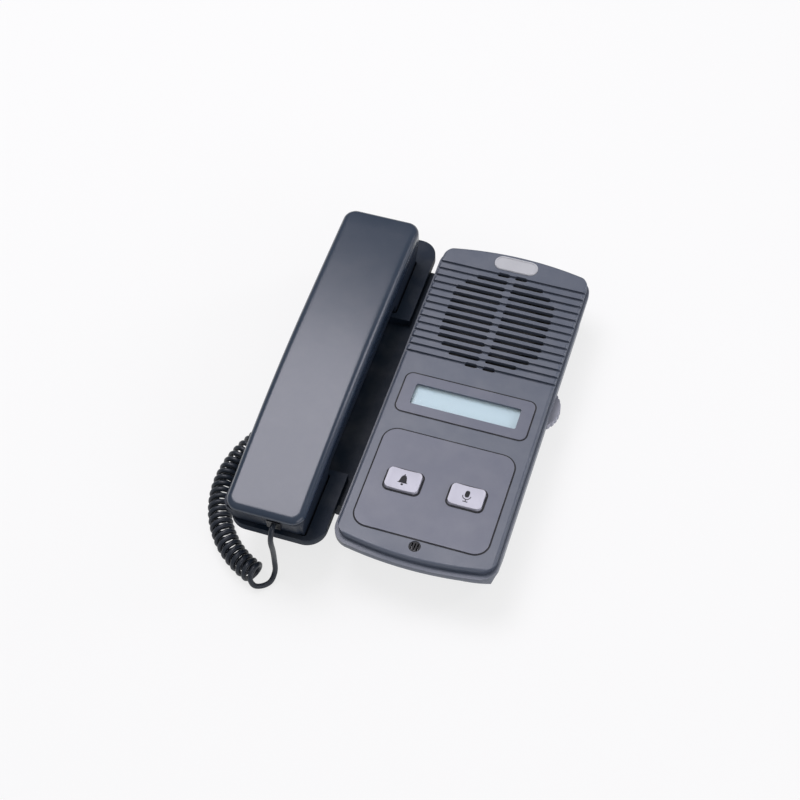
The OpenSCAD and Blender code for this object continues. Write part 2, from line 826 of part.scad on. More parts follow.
module board_screws() color("#c8cacd") at_main() {
  for (p = board_xy) {
    peg(p[0], p[1], board_z - 2.4, board_z + board_t + eps, screw_d / 2);
    peg(p[0], p[1], board_z + board_t, board_z + board_t + screw_head_h, screw_head_d / 2);
  }
  for (p = key_tower_xy) {
    peg(p[0], p[1], key_board_z - eps, key_board_z + pcb_t + screw_bite - 1, screw_d / 2);
    peg(p[0], p[1], key_board_z - screw_head_h, key_board_z, screw_head_d / 2);
  }
}

// Network socket, open to the back
module network_socket() color("#26282c") at_main() difference() {
  translate([-jack_w / 2, tub_rear - jack_l, jack_z]) cube([jack_w, jack_l, jack_h]);
  translate([-port_w / 2, tub_rear - port_d, jack_z + 2]) cube([port_w, port_d + 1, port_h]);
  translate([-3, tub_rear - port_d, jack_z + 2]) cube([6, port_d + 1, port_h + 2]);
}

// Volume wheel with its own shaft, and the control that the shaft turns in
module volume_wheel() color("#3c4048") at_main(wheel_x, wheel_y) {
  difference() {
    peg(0, 0, wheel_z, wheel_z + wheel_h, wheel_r);
    for (i = [0:wheel_notches - 1])
      rotate(i * 360 / wheel_notches)
        peg(wheel_r + 0.2, 0, wheel_z - 1, wheel_z + wheel_h + 1, notch_r, $fn = 16);
  }
  peg(0, 0, pot_z + 1, wheel_z + eps, shaft_r);
}

module volume_control() color("#2b3a52") at_main(wheel_x, wheel_y) difference() {
  slab(pot_z, pot_z + pot_h) square(pot_w, center = true);
  peg(0, 0, pot_z + 1 - run_gap, pot_z + pot_h + 1, shaft_r + shaft_gap);
}

module case_screws() color("#c8cacd") at_main() for (p = screw_xy) {
  peg(p[0], p[1], screw_seat_z - screw_head_h, screw_seat_z, screw_head_d / 2);
  peg(p[0], p[1], screw_seat_z - eps, boss_z + screw_bite, screw_d / 2);
}

module foot(r) rotate_extrude() difference() {
  square([r, foot_h + foot_sink]);
  translate([r - foot_edge, foot_edge]) mirror([0, 1]) round_off(foot_edge);
}

module main_feet() color("#1b1c1f") at_main() for (p = main_foot_xy)
  translate([p[0], p[1], 0]) foot(foot_r);

// Bridge between the cradle and the speaker unit
module bridge() color("#16181c") difference() {
  translate([(bridge_left + bridge_right) / 2, main_y + bridge_y, 0])
    slab(bridge_z0, bridge_z1) rrect(bridge_right - bridge_left, bridge_l, 1);
  for (y = bridge_cradle_y)
    translate([bridge_left - 1, main_y + bridge_y + y, bridge_hole_z])
      rotate([0, 90, 0]) cylinder(h = bridge_bite + 1 + loose, r = screw_d / 2 + eps);
  for (y = bridge_screw_y)
    translate([bridge_right + 1, main_y + bridge_y + y + bridge_step, bridge_hole_z])
      rotate([0, -90, 0]) cylinder(h = bridge_bite + 1 + loose, r = screw_d / 2 + eps);
}

module cross_screw(x, y, grip, side) translate([x, y, bridge_hole_z]) rotate([0, side * 90, 0]) {
  translate([0, 0, -screw_head_h]) cylinder(h = screw_head_h, r = screw_head_d / 2);
  translate([0, 0, -eps]) cylinder(h = grip + bridge_bite, r = screw_d / 2);
}

module bridge_screws() color("#c8cacd") {
  for (y = bridge_cradle_y)
    cross_screw(cradle_x + cavity_w / 2, main_y + bridge_y + y, bridge_left - cradle_x - cavity_w / 2, 1);
  for (y = bridge_screw_y)
    cross_screw(main_x - inner_x, main_y + bridge_y + y + bridge_step, wall, -1);
}

// Cradle
function cradle_in(z, bottom) = band_in + (bottom - band_in) * (band_z - z) / (band_z - foot_h);

module cradle_slab(z, taper) {
  front = cradle_in(z, cradle_front_in);
  back = cradle_in(z, cradle_rear_in);
  translate([0, (front - back) / 2, z])
    linear_extrude(eps)
      rrect(cradle_tub_w - 2 * taper, cradle_l - front - back, cradle_r - band_in, $fn = 32);
}

pocket_in = seat_in - pocket_gap;
pocket_r = 1.5;
pocket_w = hand_w - 2 * pocket_in;
pocket_l = (hand_l - grip_l) / 2 - end_lean + 2 * pocket_gap;
pocket_y = grip_l / 2 - pocket_gap + pocket_l / 2;
cut_l = grip_l - 2 * pocket_gap - 6;
cradle_foot_r = 5;
cradle_foot_in = [9, 16];
cradle_foot_xy = [
  for (x = [-1, 1])
    for (y = [-1, 1])
      [x * (cavity_w / 2 - cradle_foot_in[0]), cavity_y + y * (cavity_l / 2 - cradle_foot_in[1])]
];

module cradle_shell() color("#1a1c20") difference() {
  union() {
    difference() {
      at_cradle() {
        slab(band_z, cradle_z) rrect(cradle_w, cradle_l, cradle_r);
        hull() {
          cradle_slab(band_z, 0);
          cradle_slab(tub_mid_z, 0);
          cradle_slab(foot_h, band_in);
        }
      }
      at_cradle(0, cavity_y) slab(foot_h - 1, cavity_z) rrect(cavity_w, cavity_l, cavity_r);
    }
    at_cradle() for (p = cradle_post_xy)
      peg(p[0], p[1], foot_h + cradle_floor_t, cavity_z + eps, cradle_post_r);
  }
  at_hand() for (s = [-1, 1])
    translate([0, s * pocket_y, 0]) slab(pocket_z, cradle_z + 1) rrect(pocket_w, pocket_l, pocket_r);
  at_hand() translate([-cradle_w, -cut_l / 2, cradle_z - grip_cut])
    cube([2 * cradle_w, cut_l, grip_cut + 1]);
  at_hand() peg(0, hook_y, cavity_z - 1, cradle_z, plunger_r + run_gap);
  at_cradle() for (p = cradle_post_xy)
    peg(p[0], p[1], foot_h, foot_h + cradle_floor_t + screw_bite + 1, screw_d / 2 + eps);
  for (y = bridge_cradle_y)
    translate([cradle_x + cavity_w / 2 - 1, main_y + bridge_y + y, bridge_hole_z])
      rotate([0, 90, 0]) cylinder(h = cradle_w / 2, r = screw_d / 2 + snug);
  translate([wall_x - 1, socket_y - socket_w / 2 - snug, socket_z - socket_h / 2 - snug])
    cube([socket_l + 4, socket_w + 2 * snug, socket_h + 2 * snug]);
}

module cradle_floor() color("#202226") difference() {
  at_cradle(0, cavity_y) slab(foot_h, foot_h + cradle_floor_t)
    rrect(cavity_w - 2 * snug, cavity_l - 2 * snug, cavity_r - snug);
  at_cradle() for (p = cradle_post_xy) {
    peg(p[0], p[1], foot_h - 1, foot_h + cradle_floor_t + 1, screw_d / 2 + snug);
    peg(p[0], p[1], foot_h - 1, foot_h + screw_head_h, screw_head_d / 2 + loose);
  }
  at_cradle() for (p = cradle_foot_xy)
    peg(p[0], p[1], foot_h - 1, foot_h + foot_sink, cradle_foot_r + snug);
}

module cradle_screws() color("#c8cacd") at_cradle() for (p = cradle_post_xy) {
  peg(p[0], p[1], foot_h, foot_h + screw_head_h, screw_head_d / 2);
  peg(p[0], p[1], foot_h + screw_head_h - eps, foot_h + cradle_floor_t + screw_bite, screw_d / 2);
}

module cradle_feet() color("#1b1c1f") at_cradle() for (p = cradle_foot_xy)
  translate([p[0], p[1], 0]) foot(cradle_foot_r);

// Hook switch: a plunger that the resting handset holds down, on its spring
module hook_plunger() color("#3a3d44") at_hand(0, hook_y) {
  peg(0, 0, plunger_low, pocket_z, plunger_r);
  peg(0, 0, plunger_low, plunger_low + plunger_flange_h, plunger_r + plunger_flange);
  peg(0, 0, hook_base_z + hook_switch_h + run_gap, plunger_low + eps, plunger_stem_r);
}

module hook_spring() color("#b4b6ba") at_hand(0, hook_y)
  slab(hook_base_z + hook_switch_h, plunger_low - run_gap) difference() {
    circle(spring_r);
    circle(spring_r - spring_t);
  }

module hook_switch() color("#26282c") at_hand(0, hook_y)
  slab(hook_base_z, hook_base_z + hook_switch_h) square([10, 14], center = true);

// Cord sockets and plugs
module socket_box() difference() {
  translate([-socket_w / 2, 0, -socket_h / 2]) cube([socket_w, socket_l, socket_h]);
  translate([-plug_w / 2 - snug, -1, -plug_h / 2 - snug])
    cube([plug_w + 2 * snug, plug_in + 1 + snug, plug_h + 2 * snug]);
}

module plug_box() translate([-plug_w / 2, -plug_out, -plug_h / 2])
  cube([plug_w, plug_in + plug_out, plug_h]);

module at_wall_socket() translate([wall_x, socket_y, socket_z]) rotate(-90) children();
module at_hand_socket() translate([hand_x + exit_off, exit_y, exit_z]) children();

module cord_socket() color("#26282c") at_wall_socket() socket_box();
module cradle_plug() color("#1a1b1e") at_wall_socket() plug_box();
module handset_socket() color("#26282c") at_hand_socket() socket_box();
module handset_plug() color("#1a1b1e") at_hand_socket() plug_box();

// Handset: side, front and plan outlines meet in one body that the seam parts into two shells
module hand_side() difference() {
  intersection() {
    top_round(hand_l, hand_h, hand_edge_r);
    polygon([
      [end_lean - hand_l / 2, 0], [hand_l / 2 - end_lean, 0],
      [hand_l / 2, hand_h], [-hand_l / 2, hand_h]
    ]);
  }
  rrect(grip_l, 2 * (hand_h - grip_h), hollow_r);
}

module hand_front() {
  seam_h = hand_h - lid_h;
  step = 0.6;
  intersection() {
    top_round(hand_w, hand_h, hand_edge_r);
    polygon([
      [seat_in - hand_w / 2, 0], [hand_w / 2 - seat_in, 0],
      [hand_w / 2 - step, seam_h], [hand_w / 2, seam_h],
      [hand_w / 2, hand_h], [-hand_w / 2, hand_h],
      [-hand_w / 2, seam_h], [step - hand_w / 2, seam_h]
    ]);
  }
}

module hand_solid() intersection() {
  slab(hand_z, hand_top) rrect(hand_w, hand_l, hand_r);
  translate([-hand_w / 2, 0, hand_z]) rotate([90, 0, 90]) linear_extrude(hand_w) hand_side();
  translate([0, hand_l / 2, hand_z]) rotate([90, 0, 0]) linear_extrude(hand_l) hand_front();
}

lid_in = hand_wall + end_lean * lid_h / hand_h;

module handset_upper_shell() color("#3a4656") at_hand() difference() {
  union() {
    difference() {
      intersection() {
        hand_solid();
        slab(lid_z, hand_top) square([2 * hand_w, 2 * hand_l], center = true);
      }
      slab(lid_z - 1, hand_top - hand_wall)
        rrect(hand_w - 2 * hand_wall, hand_l - 2 * lid_in, hand_r - hand_wall);
    }
    for (y = hand_screw_y)
      peg(0, y, lid_z, hand_top - hand_wall + eps, hand_post_r);
  }
  for (y = hand_screw_y)
    peg(0, y, lid_z - 1, lid_z + screw_bite + loose, screw_d / 2 + eps);
}

block_w = hand_w - 2 * seat_in - 2 * hand_wall;
block_l = pocket_l - 2 * pocket_gap - 2 * hand_wall;
block_y = grip_l / 2 + hand_wall + block_l / 2;
ear_y = block_y;
mouth_y = -block_y;

// Rings of sound holes: one in the middle and six around it
module sound_holes(y, r) translate([0, y, 0]) {
  peg(0, 0, hand_z - 1, hand_z + hand_wall + 1, sound_hole_r);
  for (a = [0:60:300])
    rotate(a) peg(r, 0, hand_z - 1, hand_z + hand_wall + 1, sound_hole_r);
}

module handset_lower_shell() color("#23272e") at_hand() difference() {
  union() {
    difference() {
      intersection() {
        hand_solid();
        slab(hand_z, lid_z) square([2 * hand_w, 2 * hand_l], center = true);
      }
      for (s = [-1, 1])
        translate([0, s * block_y, 0]) slab(hand_z + hand_wall, lid_z + 1) rrect(block_w, block_l, 3);
      slab(grip_z + hand_wall, lid_z + 1) square([block_w, 2 * block_y], center = true);
    }
    for (y = hand_screw_y)
      peg(0, y, grip_z + eps, lid_z, hand_post_r + 1);
  }
  sound_holes(ear_y, 6);
  sound_holes(mouth_y, 4);
  for (y = hand_screw_y) {
    peg(0, y, grip_z - 1, grip_z + screw_head_h + 1, screw_head_d / 2 + loose);
    peg(0, y, grip_z, lid_z + 1, screw_d / 2 + snug);
  }
  translate([exit_off - socket_w / 2 - snug, exit_y - hand_y - end_lean, exit_z - socket_h / 2 - snug])
    cube([socket_w + 2 * snug, end_lean + socket_l + snug, socket_h + 2 * snug]);
}

module earpiece() color("#9aa0a8") at_hand(0, ear_y)
  peg(0, 0, hand_z + hand_wall, hand_z + hand_wall + ear_h, ear_r);

module mouthpiece() color("#9aa0a8") at_hand(0, mouth_y)
  peg(0, 0, hand_z + hand_wall, hand_z + hand_wall + mouth_h, mouth_r);

module handset_screws() color("#c8cacd") at_hand() for (y = hand_screw_y) {
  peg(0, y, grip_z + 1, grip_z + 1 + screw_head_h, screw_head_d / 2);
  peg(0, y, grip_z + 1 + screw_head_h - eps, lid_z + screw_bite, screw_d / 2);
}

// Curly cord: a helix about the axis of the curls
function arc_point(a) = [arc_c[0] + arc_r * cos(a), arc_c[1] + arc_r * sin(a)];
arc_end_a = arc_from - arc_turn;
back_c = arc_point(arc_end_a) + back_r * [cos(arc_end_a), sin(arc_end_a)];

function axis_heading(s) =
  s < arc_len ? arc_from - 90 - s / arc_r * 180 / PI
  : s < arc_len + back_len ? arc_end_a - 90 + (s - arc_len) / back_r * 180 / PI
  : arc_end_a - 90 + back_turn;

function axis_point(s) =
  s < arc_len ? arc_point(axis_heading(s) + 90)
  : s < arc_len + back_len ? back_c + back_r * [sin(axis_heading(s)), -cos(axis_heading(s))]
  : axis_point(arc_len + back_len - eps * eps) + (s - arc_len - back_len) * heading_vec(s);

function heading_vec(s) = [cos(axis_heading(s)), sin(axis_heading(s))];
function left_vec(s) = [-sin(axis_heading(s)), cos(axis_heading(s)), 0];

function curl_out(s, phase) = cos(phase) * left_vec(s) + sin(phase) * [0, 0, 1];
function curl_phase(t) = start_phase + 360 * turns * t;
function curl_point(t) =
  let (s = curl_len * t, p = axis_point(s))
  [p[0], p[1], curl_z] + coil_r * curl_out(s, curl_phase(t));
function unit(v) = v / norm(v);
function curl_tangent(t) = let (d = 0.0005) unit(curl_point(min(1, t + d)) - curl_point(max(0, t - d)));

function ring(c, u, v, r, n) = [for (k = [0:n - 1]) c + r * (cos(360 * k / n) * u + sin(360 * k / n) * v)];

function curl_ring(c, t) =
  let (s = curl_len * t, tan = curl_tangent(t), out = curl_out(s, curl_phase(t)))
  let (u = unit(out - (out * tan) * tan))
  ring(c, u, cross(tan, u), cord_d / 2, curl_sides);

curl_steps = round(turns * curl_rings);
curl_end = curl_point(1) + cord_d * curl_tangent(1);
curl_points = [for (i = [0:curl_steps]) curl_point(i / curl_steps)];
curl_foot = [axis_point(0)[0], axis_point(0)[1], 0];

// Least gap of the curls to themselves, between points at least half a turn apart
curl_gap = min([
  for (i = [0:curl_steps])
    for (j = [i + curl_rings / 2:min(curl_steps, i + 2 * curl_rings)])
      norm(curl_points[i] - curl_points[j])
]) - cord_d;
curl_wire = curl_n * sqrt(pow(2 * PI * coil_r, 2) + pow(curl_len / turns, 2));
echo(curl_gap = curl_gap, curl_wire = curl_wire, curl_foot = curl_foot, curl_end = curl_end);

// Closed tube from a list of rings with n points each, in triangles
module tube(rings, n) {
  last = len(rings) - 1;
  polyhedron(
    points = [for (q = rings) each q],
    faces = [
      for (k = [1:n - 2]) [0, k, k + 1],
      for (k = [1:n - 2]) [last * n, last * n + k + 1, last * n + k],
      for (i = [0:last - 1]) for (k = [0:n - 1]) [i * n + k, (i + 1) * n + k, (i + 1) * n + (k + 1) % n],
      for (i = [0:last - 1]) for (k = [0:n - 1]) [i * n + k, (i + 1) * n + (k + 1) % n, i * n + (k + 1) % n]
    ]
  );
}

// Tube along a route's own points, its section carried on without twist
function route_tangent(p, i) =
  i == 0 ? unit(p[1] - p[0])
  : i == len(p) - 1 ? unit(p[i] - p[i - 1])
  : unit(unit(p[i + 1] - p[i]) + unit(p[i] - p[i - 1]));
function carried(u, t) = unit(u - (u * t) * t);
function route_rings(p, i, u, n, turn) =
  let (t = route_tangent(p, i), w = carried(u, t), here = ring(p[i], w, turn * cross(t, w), cord_d / 2, n))
  i == len(p) - 1 ? [here] : concat([here], route_rings(p, i + 1, w, n, turn));

lead_stub = [0, -cord_d / 2, 0];
wall_stub = [-cord_d / 2, 0, 0];
loop_n = len(loop_low);
lead_path = concat(
  [curl_points[0]],
  [for (p = loop_low) curl_foot + p],
  [for (p = lead_low) curl_foot + p],
  [for (p = lead_high) hand_plug_face + p],
  [hand_plug_face + lead_stub, hand_plug_face]
);
lead_out = curl_out(0, start_phase);

module curly_cord() color("#15171b") {
  loop = route_rings(lead_path, 0, lead_out, curl_sides, -1);
  tube(concat(
    [for (i = [loop_n:-1:1]) loop[i]],
    [for (i = [0:curl_steps]) curl_ring(curl_points[i], i / curl_steps)],
    [curl_ring(curl_end, 1)]
  ), curl_sides);
}

module handset_lead() color("#15171b") {
  rings = route_rings(lead_path, 0, lead_out, lead_sides, 1);
  tube([for (i = [loop_n:len(rings) - 1]) rings[i]], lead_sides);
}

module cradle_lead() color("#15171b") tube(route_rings(
  concat(
    [curl_end, curl_end + curl_tangent(1)],
    [for (p = lead_wall) wall_plug_face + p],
    [wall_plug_face + wall_stub, wall_plug_face]
  ),
  0, [1, 0, 0], lead_sides, 1
), lead_sides);

base_shell();
front_cover();
badge_plate();
display_frame();
display_lens();
display_module();
key_plate();
call_key();
talk_key();
key_board();
key_switches();
mic_insert();
mic_boot();
mic_capsule();
speaker_gasket();
speaker_basket();
speaker_cone();
speaker_magnet();
speaker_clamps();
main_board();
board_screws();
network_socket();
volume_wheel();
volume_control();
case_screws();
main_feet();
bridge();
bridge_screws();
cradle_shell();
cradle_floor();
cradle_screws();
cradle_feet();
hook_plunger();
hook_spring();
hook_switch();
cord_socket();
handset_upper_shell();
handset_lower_shell();
earpiece();
mouthpiece();
handset_screws();
handset_socket();
handset_plug();
handset_lead();
curly_cord();
cradle_lead();
cradle_plug();
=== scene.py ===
"""Looks of a desk intercom station: speaker unit, cradle, handset and curly cord.

Lengths are in metres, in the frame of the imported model: X right, Y away from the user, Z up.
"""
import json
import logging
import math
from dataclasses import dataclass, field
from enum import Enum
from typing import Callable

import bpy
import numpy as np
from mathutils import Euler, Matrix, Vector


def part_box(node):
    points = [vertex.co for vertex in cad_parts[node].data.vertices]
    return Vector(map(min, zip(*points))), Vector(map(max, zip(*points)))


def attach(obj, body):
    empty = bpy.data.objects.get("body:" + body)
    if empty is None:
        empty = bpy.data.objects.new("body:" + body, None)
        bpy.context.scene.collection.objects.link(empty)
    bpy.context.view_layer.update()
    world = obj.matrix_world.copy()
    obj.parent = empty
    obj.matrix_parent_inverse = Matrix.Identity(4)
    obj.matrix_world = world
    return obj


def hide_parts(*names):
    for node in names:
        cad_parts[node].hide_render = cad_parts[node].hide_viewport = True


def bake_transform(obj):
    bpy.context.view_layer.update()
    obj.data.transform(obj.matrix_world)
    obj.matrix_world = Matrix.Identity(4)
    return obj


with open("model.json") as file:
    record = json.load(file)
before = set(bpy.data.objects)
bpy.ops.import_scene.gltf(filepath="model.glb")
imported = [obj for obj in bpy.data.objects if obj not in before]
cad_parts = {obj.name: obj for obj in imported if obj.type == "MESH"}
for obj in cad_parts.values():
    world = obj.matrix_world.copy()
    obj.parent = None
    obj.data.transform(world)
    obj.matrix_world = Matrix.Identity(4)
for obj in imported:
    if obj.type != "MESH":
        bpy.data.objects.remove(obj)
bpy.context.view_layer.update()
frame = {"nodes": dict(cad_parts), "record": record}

MM = 0.001
WHITE = (1.0, 1.0, 1.0, 1.0)
LID_NODE = "handset_upper_shell"

Colour = tuple[float, float, float]
Point = tuple[float, float, float]
Pair = tuple[float, float]
Value = bpy.types.NodeSocket | float | tuple

log = logging.getLogger("intercom_station")


class Body(str, Enum):
    """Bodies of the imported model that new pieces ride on."""

    STATION = "station"
    HANDSET = "handset"
    CALL_KEY = "call_key"
    TALK_KEY = "talk_key"


class Sign(Enum):
    """Signs printed on the key caps."""

    BELL = "bell"
    MICROPHONE = "microphone"


# Shader nodes


class Tree:
    """Short way to add and join the nodes of one node tree."""

    def __init__(self, tree: bpy.types.NodeTree) -> None:
        """Take the tree that the nodes go into."""
        self.tree = tree

    def add(self, kind: str, inputs: dict | None = None, **settings: object) -> bpy.types.Node:
        """Add one node.

        Args:
            kind: the node's type name.
            inputs: values or sockets for its inputs, by the input's name or number.
            settings: properties of the node itself.

        Returns:
            The new node.
        """
        node = self.tree.nodes.new(kind)
        for key, value in settings.items():
            setattr(node, key, value)
        for key, value in (inputs or {}).items():
            if isinstance(value, bpy.types.NodeSocket):
                self.join(value, node.inputs[key])
            else:
                node.inputs[key].default_value = value
        return node

    def join(self, source: bpy.types.NodeSocket, target: bpy.types.NodeSocket) -> None:
        """Link an output to an input."""
        self.tree.links.new(source, target)

    def math(self, operation: str, first: Value, second: Value) -> bpy.types.NodeSocket:
        """Return the output of one Math node."""
        return self.add("ShaderNodeMath", {0: first, 1: second}, operation=operation).outputs[0]

    def mix(self, share: Value, first: Value, second: Value) -> bpy.types.NodeSocket:
        """Return one Mix node's colour: inputs 6 and 7 and output 2 are its colour sockets."""
        node = self.add("ShaderNodeMix", {0: share, 6: first, 7: second}, data_type="RGBA")
        return node.outputs[2]

    def span(self, value: Value, ends: Pair, to_ends: Pair = (0.0, 1.0)) -> bpy.types.NodeSocket:
        """Return value carried from one span of numbers to another, held at both ends."""
        inputs = {0: value, 1: ends[0], 2: ends[1], 3: to_ends[0], 4: to_ends[1]}
        return self.add("ShaderNodeMapRange", inputs).outputs[0]

    def noise(self, place: Value, scale: Value, detail: float) -> bpy.types.NodeSocket:
        """Return the value of one Noise texture."""
        inputs = {"Vector": place, "Scale": scale, "Detail": detail}
        return self.add("ShaderNodeTexNoise", inputs).outputs[0]


def new_group(
    name: str, inputs: dict[str, float], outputs: list[str]
) -> tuple[Tree, dict[str, bpy.types.NodeSocket], bpy.types.Node]:
    """Start a shader node group.

    Args:
        name: the group's name.
        inputs: its number inputs, with their defaults.
        outputs: its number outputs.

    Returns:
        The group's tree, its input sockets by name and its output node.
    """
    group = bpy.data.node_groups.new(name, "ShaderNodeTree")
    for key, value in inputs.items():
        socket = group.interface.new_socket(key, in_out="INPUT", socket_type="NodeSocketFloat")
        socket.default_value = value
    for key in outputs:
        group.interface.new_socket(key, in_out="OUTPUT", socket_type="NodeSocketFloat")
    tree = Tree(group)
    source = tree.add("NodeGroupInput")
    return tree, {key: source.outputs[key] for key in inputs}, tree.add("NodeGroupOutput")


class Effects:
    """Surface effects that several finishes share, each a shader node group built once."""

    grain_span: Pair = (0.3, 0.7)
    pit_detail: float = 3.0
    mottle_detail: float = 4.0
    edge_span: Pair = (0.995, 0.86)
    corner_samples: int = 4
    break_span: Pair = (0.35, 0.7)
    break_detail: float = 3.0
    film_span: Pair = (0.42, 0.75)
    film_detail: float = 6.0
    up_span: Pair = (0.5, 1.0)

    def __init__(self) -> None:
        """Build the groups."""
        self.grain = self.make_grain()
        self.wear = self.make_wear()
        self.dust = self.make_dust()

    def make_grain(self) -> bpy.types.NodeTree:
        """Make the moulded grain: fine spark pits over a slow mottle.

        Returns:
            The group, which puts out a height and a mask.
        """
        tree, given, result = new_group(
            "moulded_grain",
            {"Pits per metre": 2600.0, "Mottle per metre": 28.0},
            ["Height", "Mottle"],
        )
        place = tree.add("ShaderNodeTexCoord").outputs["Object"]
        pits = tree.noise(place, given["Pits per metre"], self.pit_detail)
        slow = tree.noise(place, given["Mottle per metre"], self.mottle_detail)
        tree.join(tree.span(pits, self.grain_span), result.inputs["Height"])
        tree.join(tree.span(slow, self.grain_span), result.inputs["Mottle"])
        return tree.tree

    def make_wear(self) -> bpy.types.NodeTree:
        """Make the edge wear: where a widely rounded normal leaves the true one, broken by noise.

        Returns:
            The group, which puts out a mask.
        """
        tree, given, result = new_group(
            "edge_wear", {"Width": 0.6 * MM, "Breaks per metre": 160.0}, ["Mask"]
        )
        place = tree.add("ShaderNodeTexCoord").outputs["Object"]
        rounded = tree.add(
            "ShaderNodeBevel", {"Radius": given["Width"]}, samples=self.corner_samples
        )
        true = tree.add("ShaderNodeNewGeometry").outputs["Normal"]
        turn = tree.add(
            "ShaderNodeVectorMath", {0: rounded.outputs[0], 1: true}, operation="DOT_PRODUCT"
        )
        edge = tree.span(turn.outputs["Value"], self.edge_span)
        speckle = tree.noise(place, given["Breaks per metre"], self.break_detail)
        broken = tree.span(speckle, self.break_span)
        tree.join(tree.math("MULTIPLY", edge, broken), result.inputs["Mask"])
        return tree.tree

    def make_dust(self) -> bpy.types.NodeTree:
        """Make the dust: a patchy film on faces that look up.

        Returns:
            The group, which puts out a mask.
        """
        tree, given, result = new_group("settled_dust", {"Patches per metre": 60.0}, ["Mask"])
        place = tree.add("ShaderNodeTexCoord").outputs["Object"]
        normal = tree.add("ShaderNodeNewGeometry").outputs["Normal"]
        up = tree.add("ShaderNodeSeparateXYZ", {0: normal}).outputs["Z"]
        patches = tree.noise(place, given["Patches per metre"], self.film_detail)
        film = tree.span(patches, self.film_span)
        mask = tree.math("MULTIPLY", tree.span(up, self.up_span), film)
        tree.join(mask, result.inputs["Mask"])
        return tree.tree


@dataclass(frozen=True)
class Finish:
    """One finish: base colour, gloss and the strength of the effects on it."""

    name: str
    colour: Colour
    tint: Colour
    rough: float = 0.5
    rough_swing: float = 0.06
    specular: float = 0.5
    metal: float = 0.0
    coat: float = 0.0
    coat_rough: float = 0.2
    alpha: float = 1.0
    pits: float = 2600.0
    pit_height: float = 0.02 * MM
    worn: Colour = (0.5, 0.5, 0.52)
    wear: float = 0.25
    wear_width: float = 0.5 * MM
    dust: float = 0.05
    dust_colour: Colour = (0.6, 0.58, 0.55)

    def make(self, effects: Effects) -> bpy.types.Material:
        """Build the material.

        Args:
            effects: the shared effect groups.

        Returns:
            The material.
        """
        material = bpy.data.materials.new(self.name)
        material.use_nodes = True
        material.node_tree.nodes.clear()
        tree = Tree(material.node_tree)
        grain = tree.add("ShaderNodeGroup", node_tree=effects.grain)
        grain.inputs["Pits per metre"].default_value = self.pits
        wear = tree.add("ShaderNodeGroup", node_tree=effects.wear)
        wear.inputs["Width"].default_value = self.wear_width
        dust = tree.add("ShaderNodeGroup", node_tree=effects.dust)
        mottle = grain.outputs["Mottle"]
        rubbed = tree.math("MULTIPLY", wear.outputs["Mask"], self.wear)
        film = tree.math("MULTIPLY", dust.outputs["Mask"], self.dust)
        colour = tree.mix(mottle, (*self.colour, 1.0), (*self.tint, 1.0))
        colour = tree.mix(rubbed, colour, (*self.worn, 1.0))
        colour = tree.mix(film, colour, (*self.dust_colour, 1.0))
        rough_ends = (self.rough - self.rough_swing, self.rough + self.rough_swing)
        bump_inputs = {"Height": grain.outputs["Height"], "Distance": self.pit_height}
        bump = tree.add("ShaderNodeBump", bump_inputs)
        shader = tree.add(
            "ShaderNodeBsdfPrincipled",
            {
                "Base Color": colour,
                "Roughness": tree.span(mottle, (0.0, 1.0), rough_ends),
                "Normal": bump.outputs["Normal"],
                "Metallic": self.metal,
                "Specular IOR Level": self.specular,
                "Coat Weight": self.coat,
                "Coat Roughness": self.coat_rough,
                "Alpha": self.alpha,
            },
        )
        output = tree.add("ShaderNodeOutputMaterial")
        tree.join(shader.outputs[0], output.inputs["Surface"])
        return material


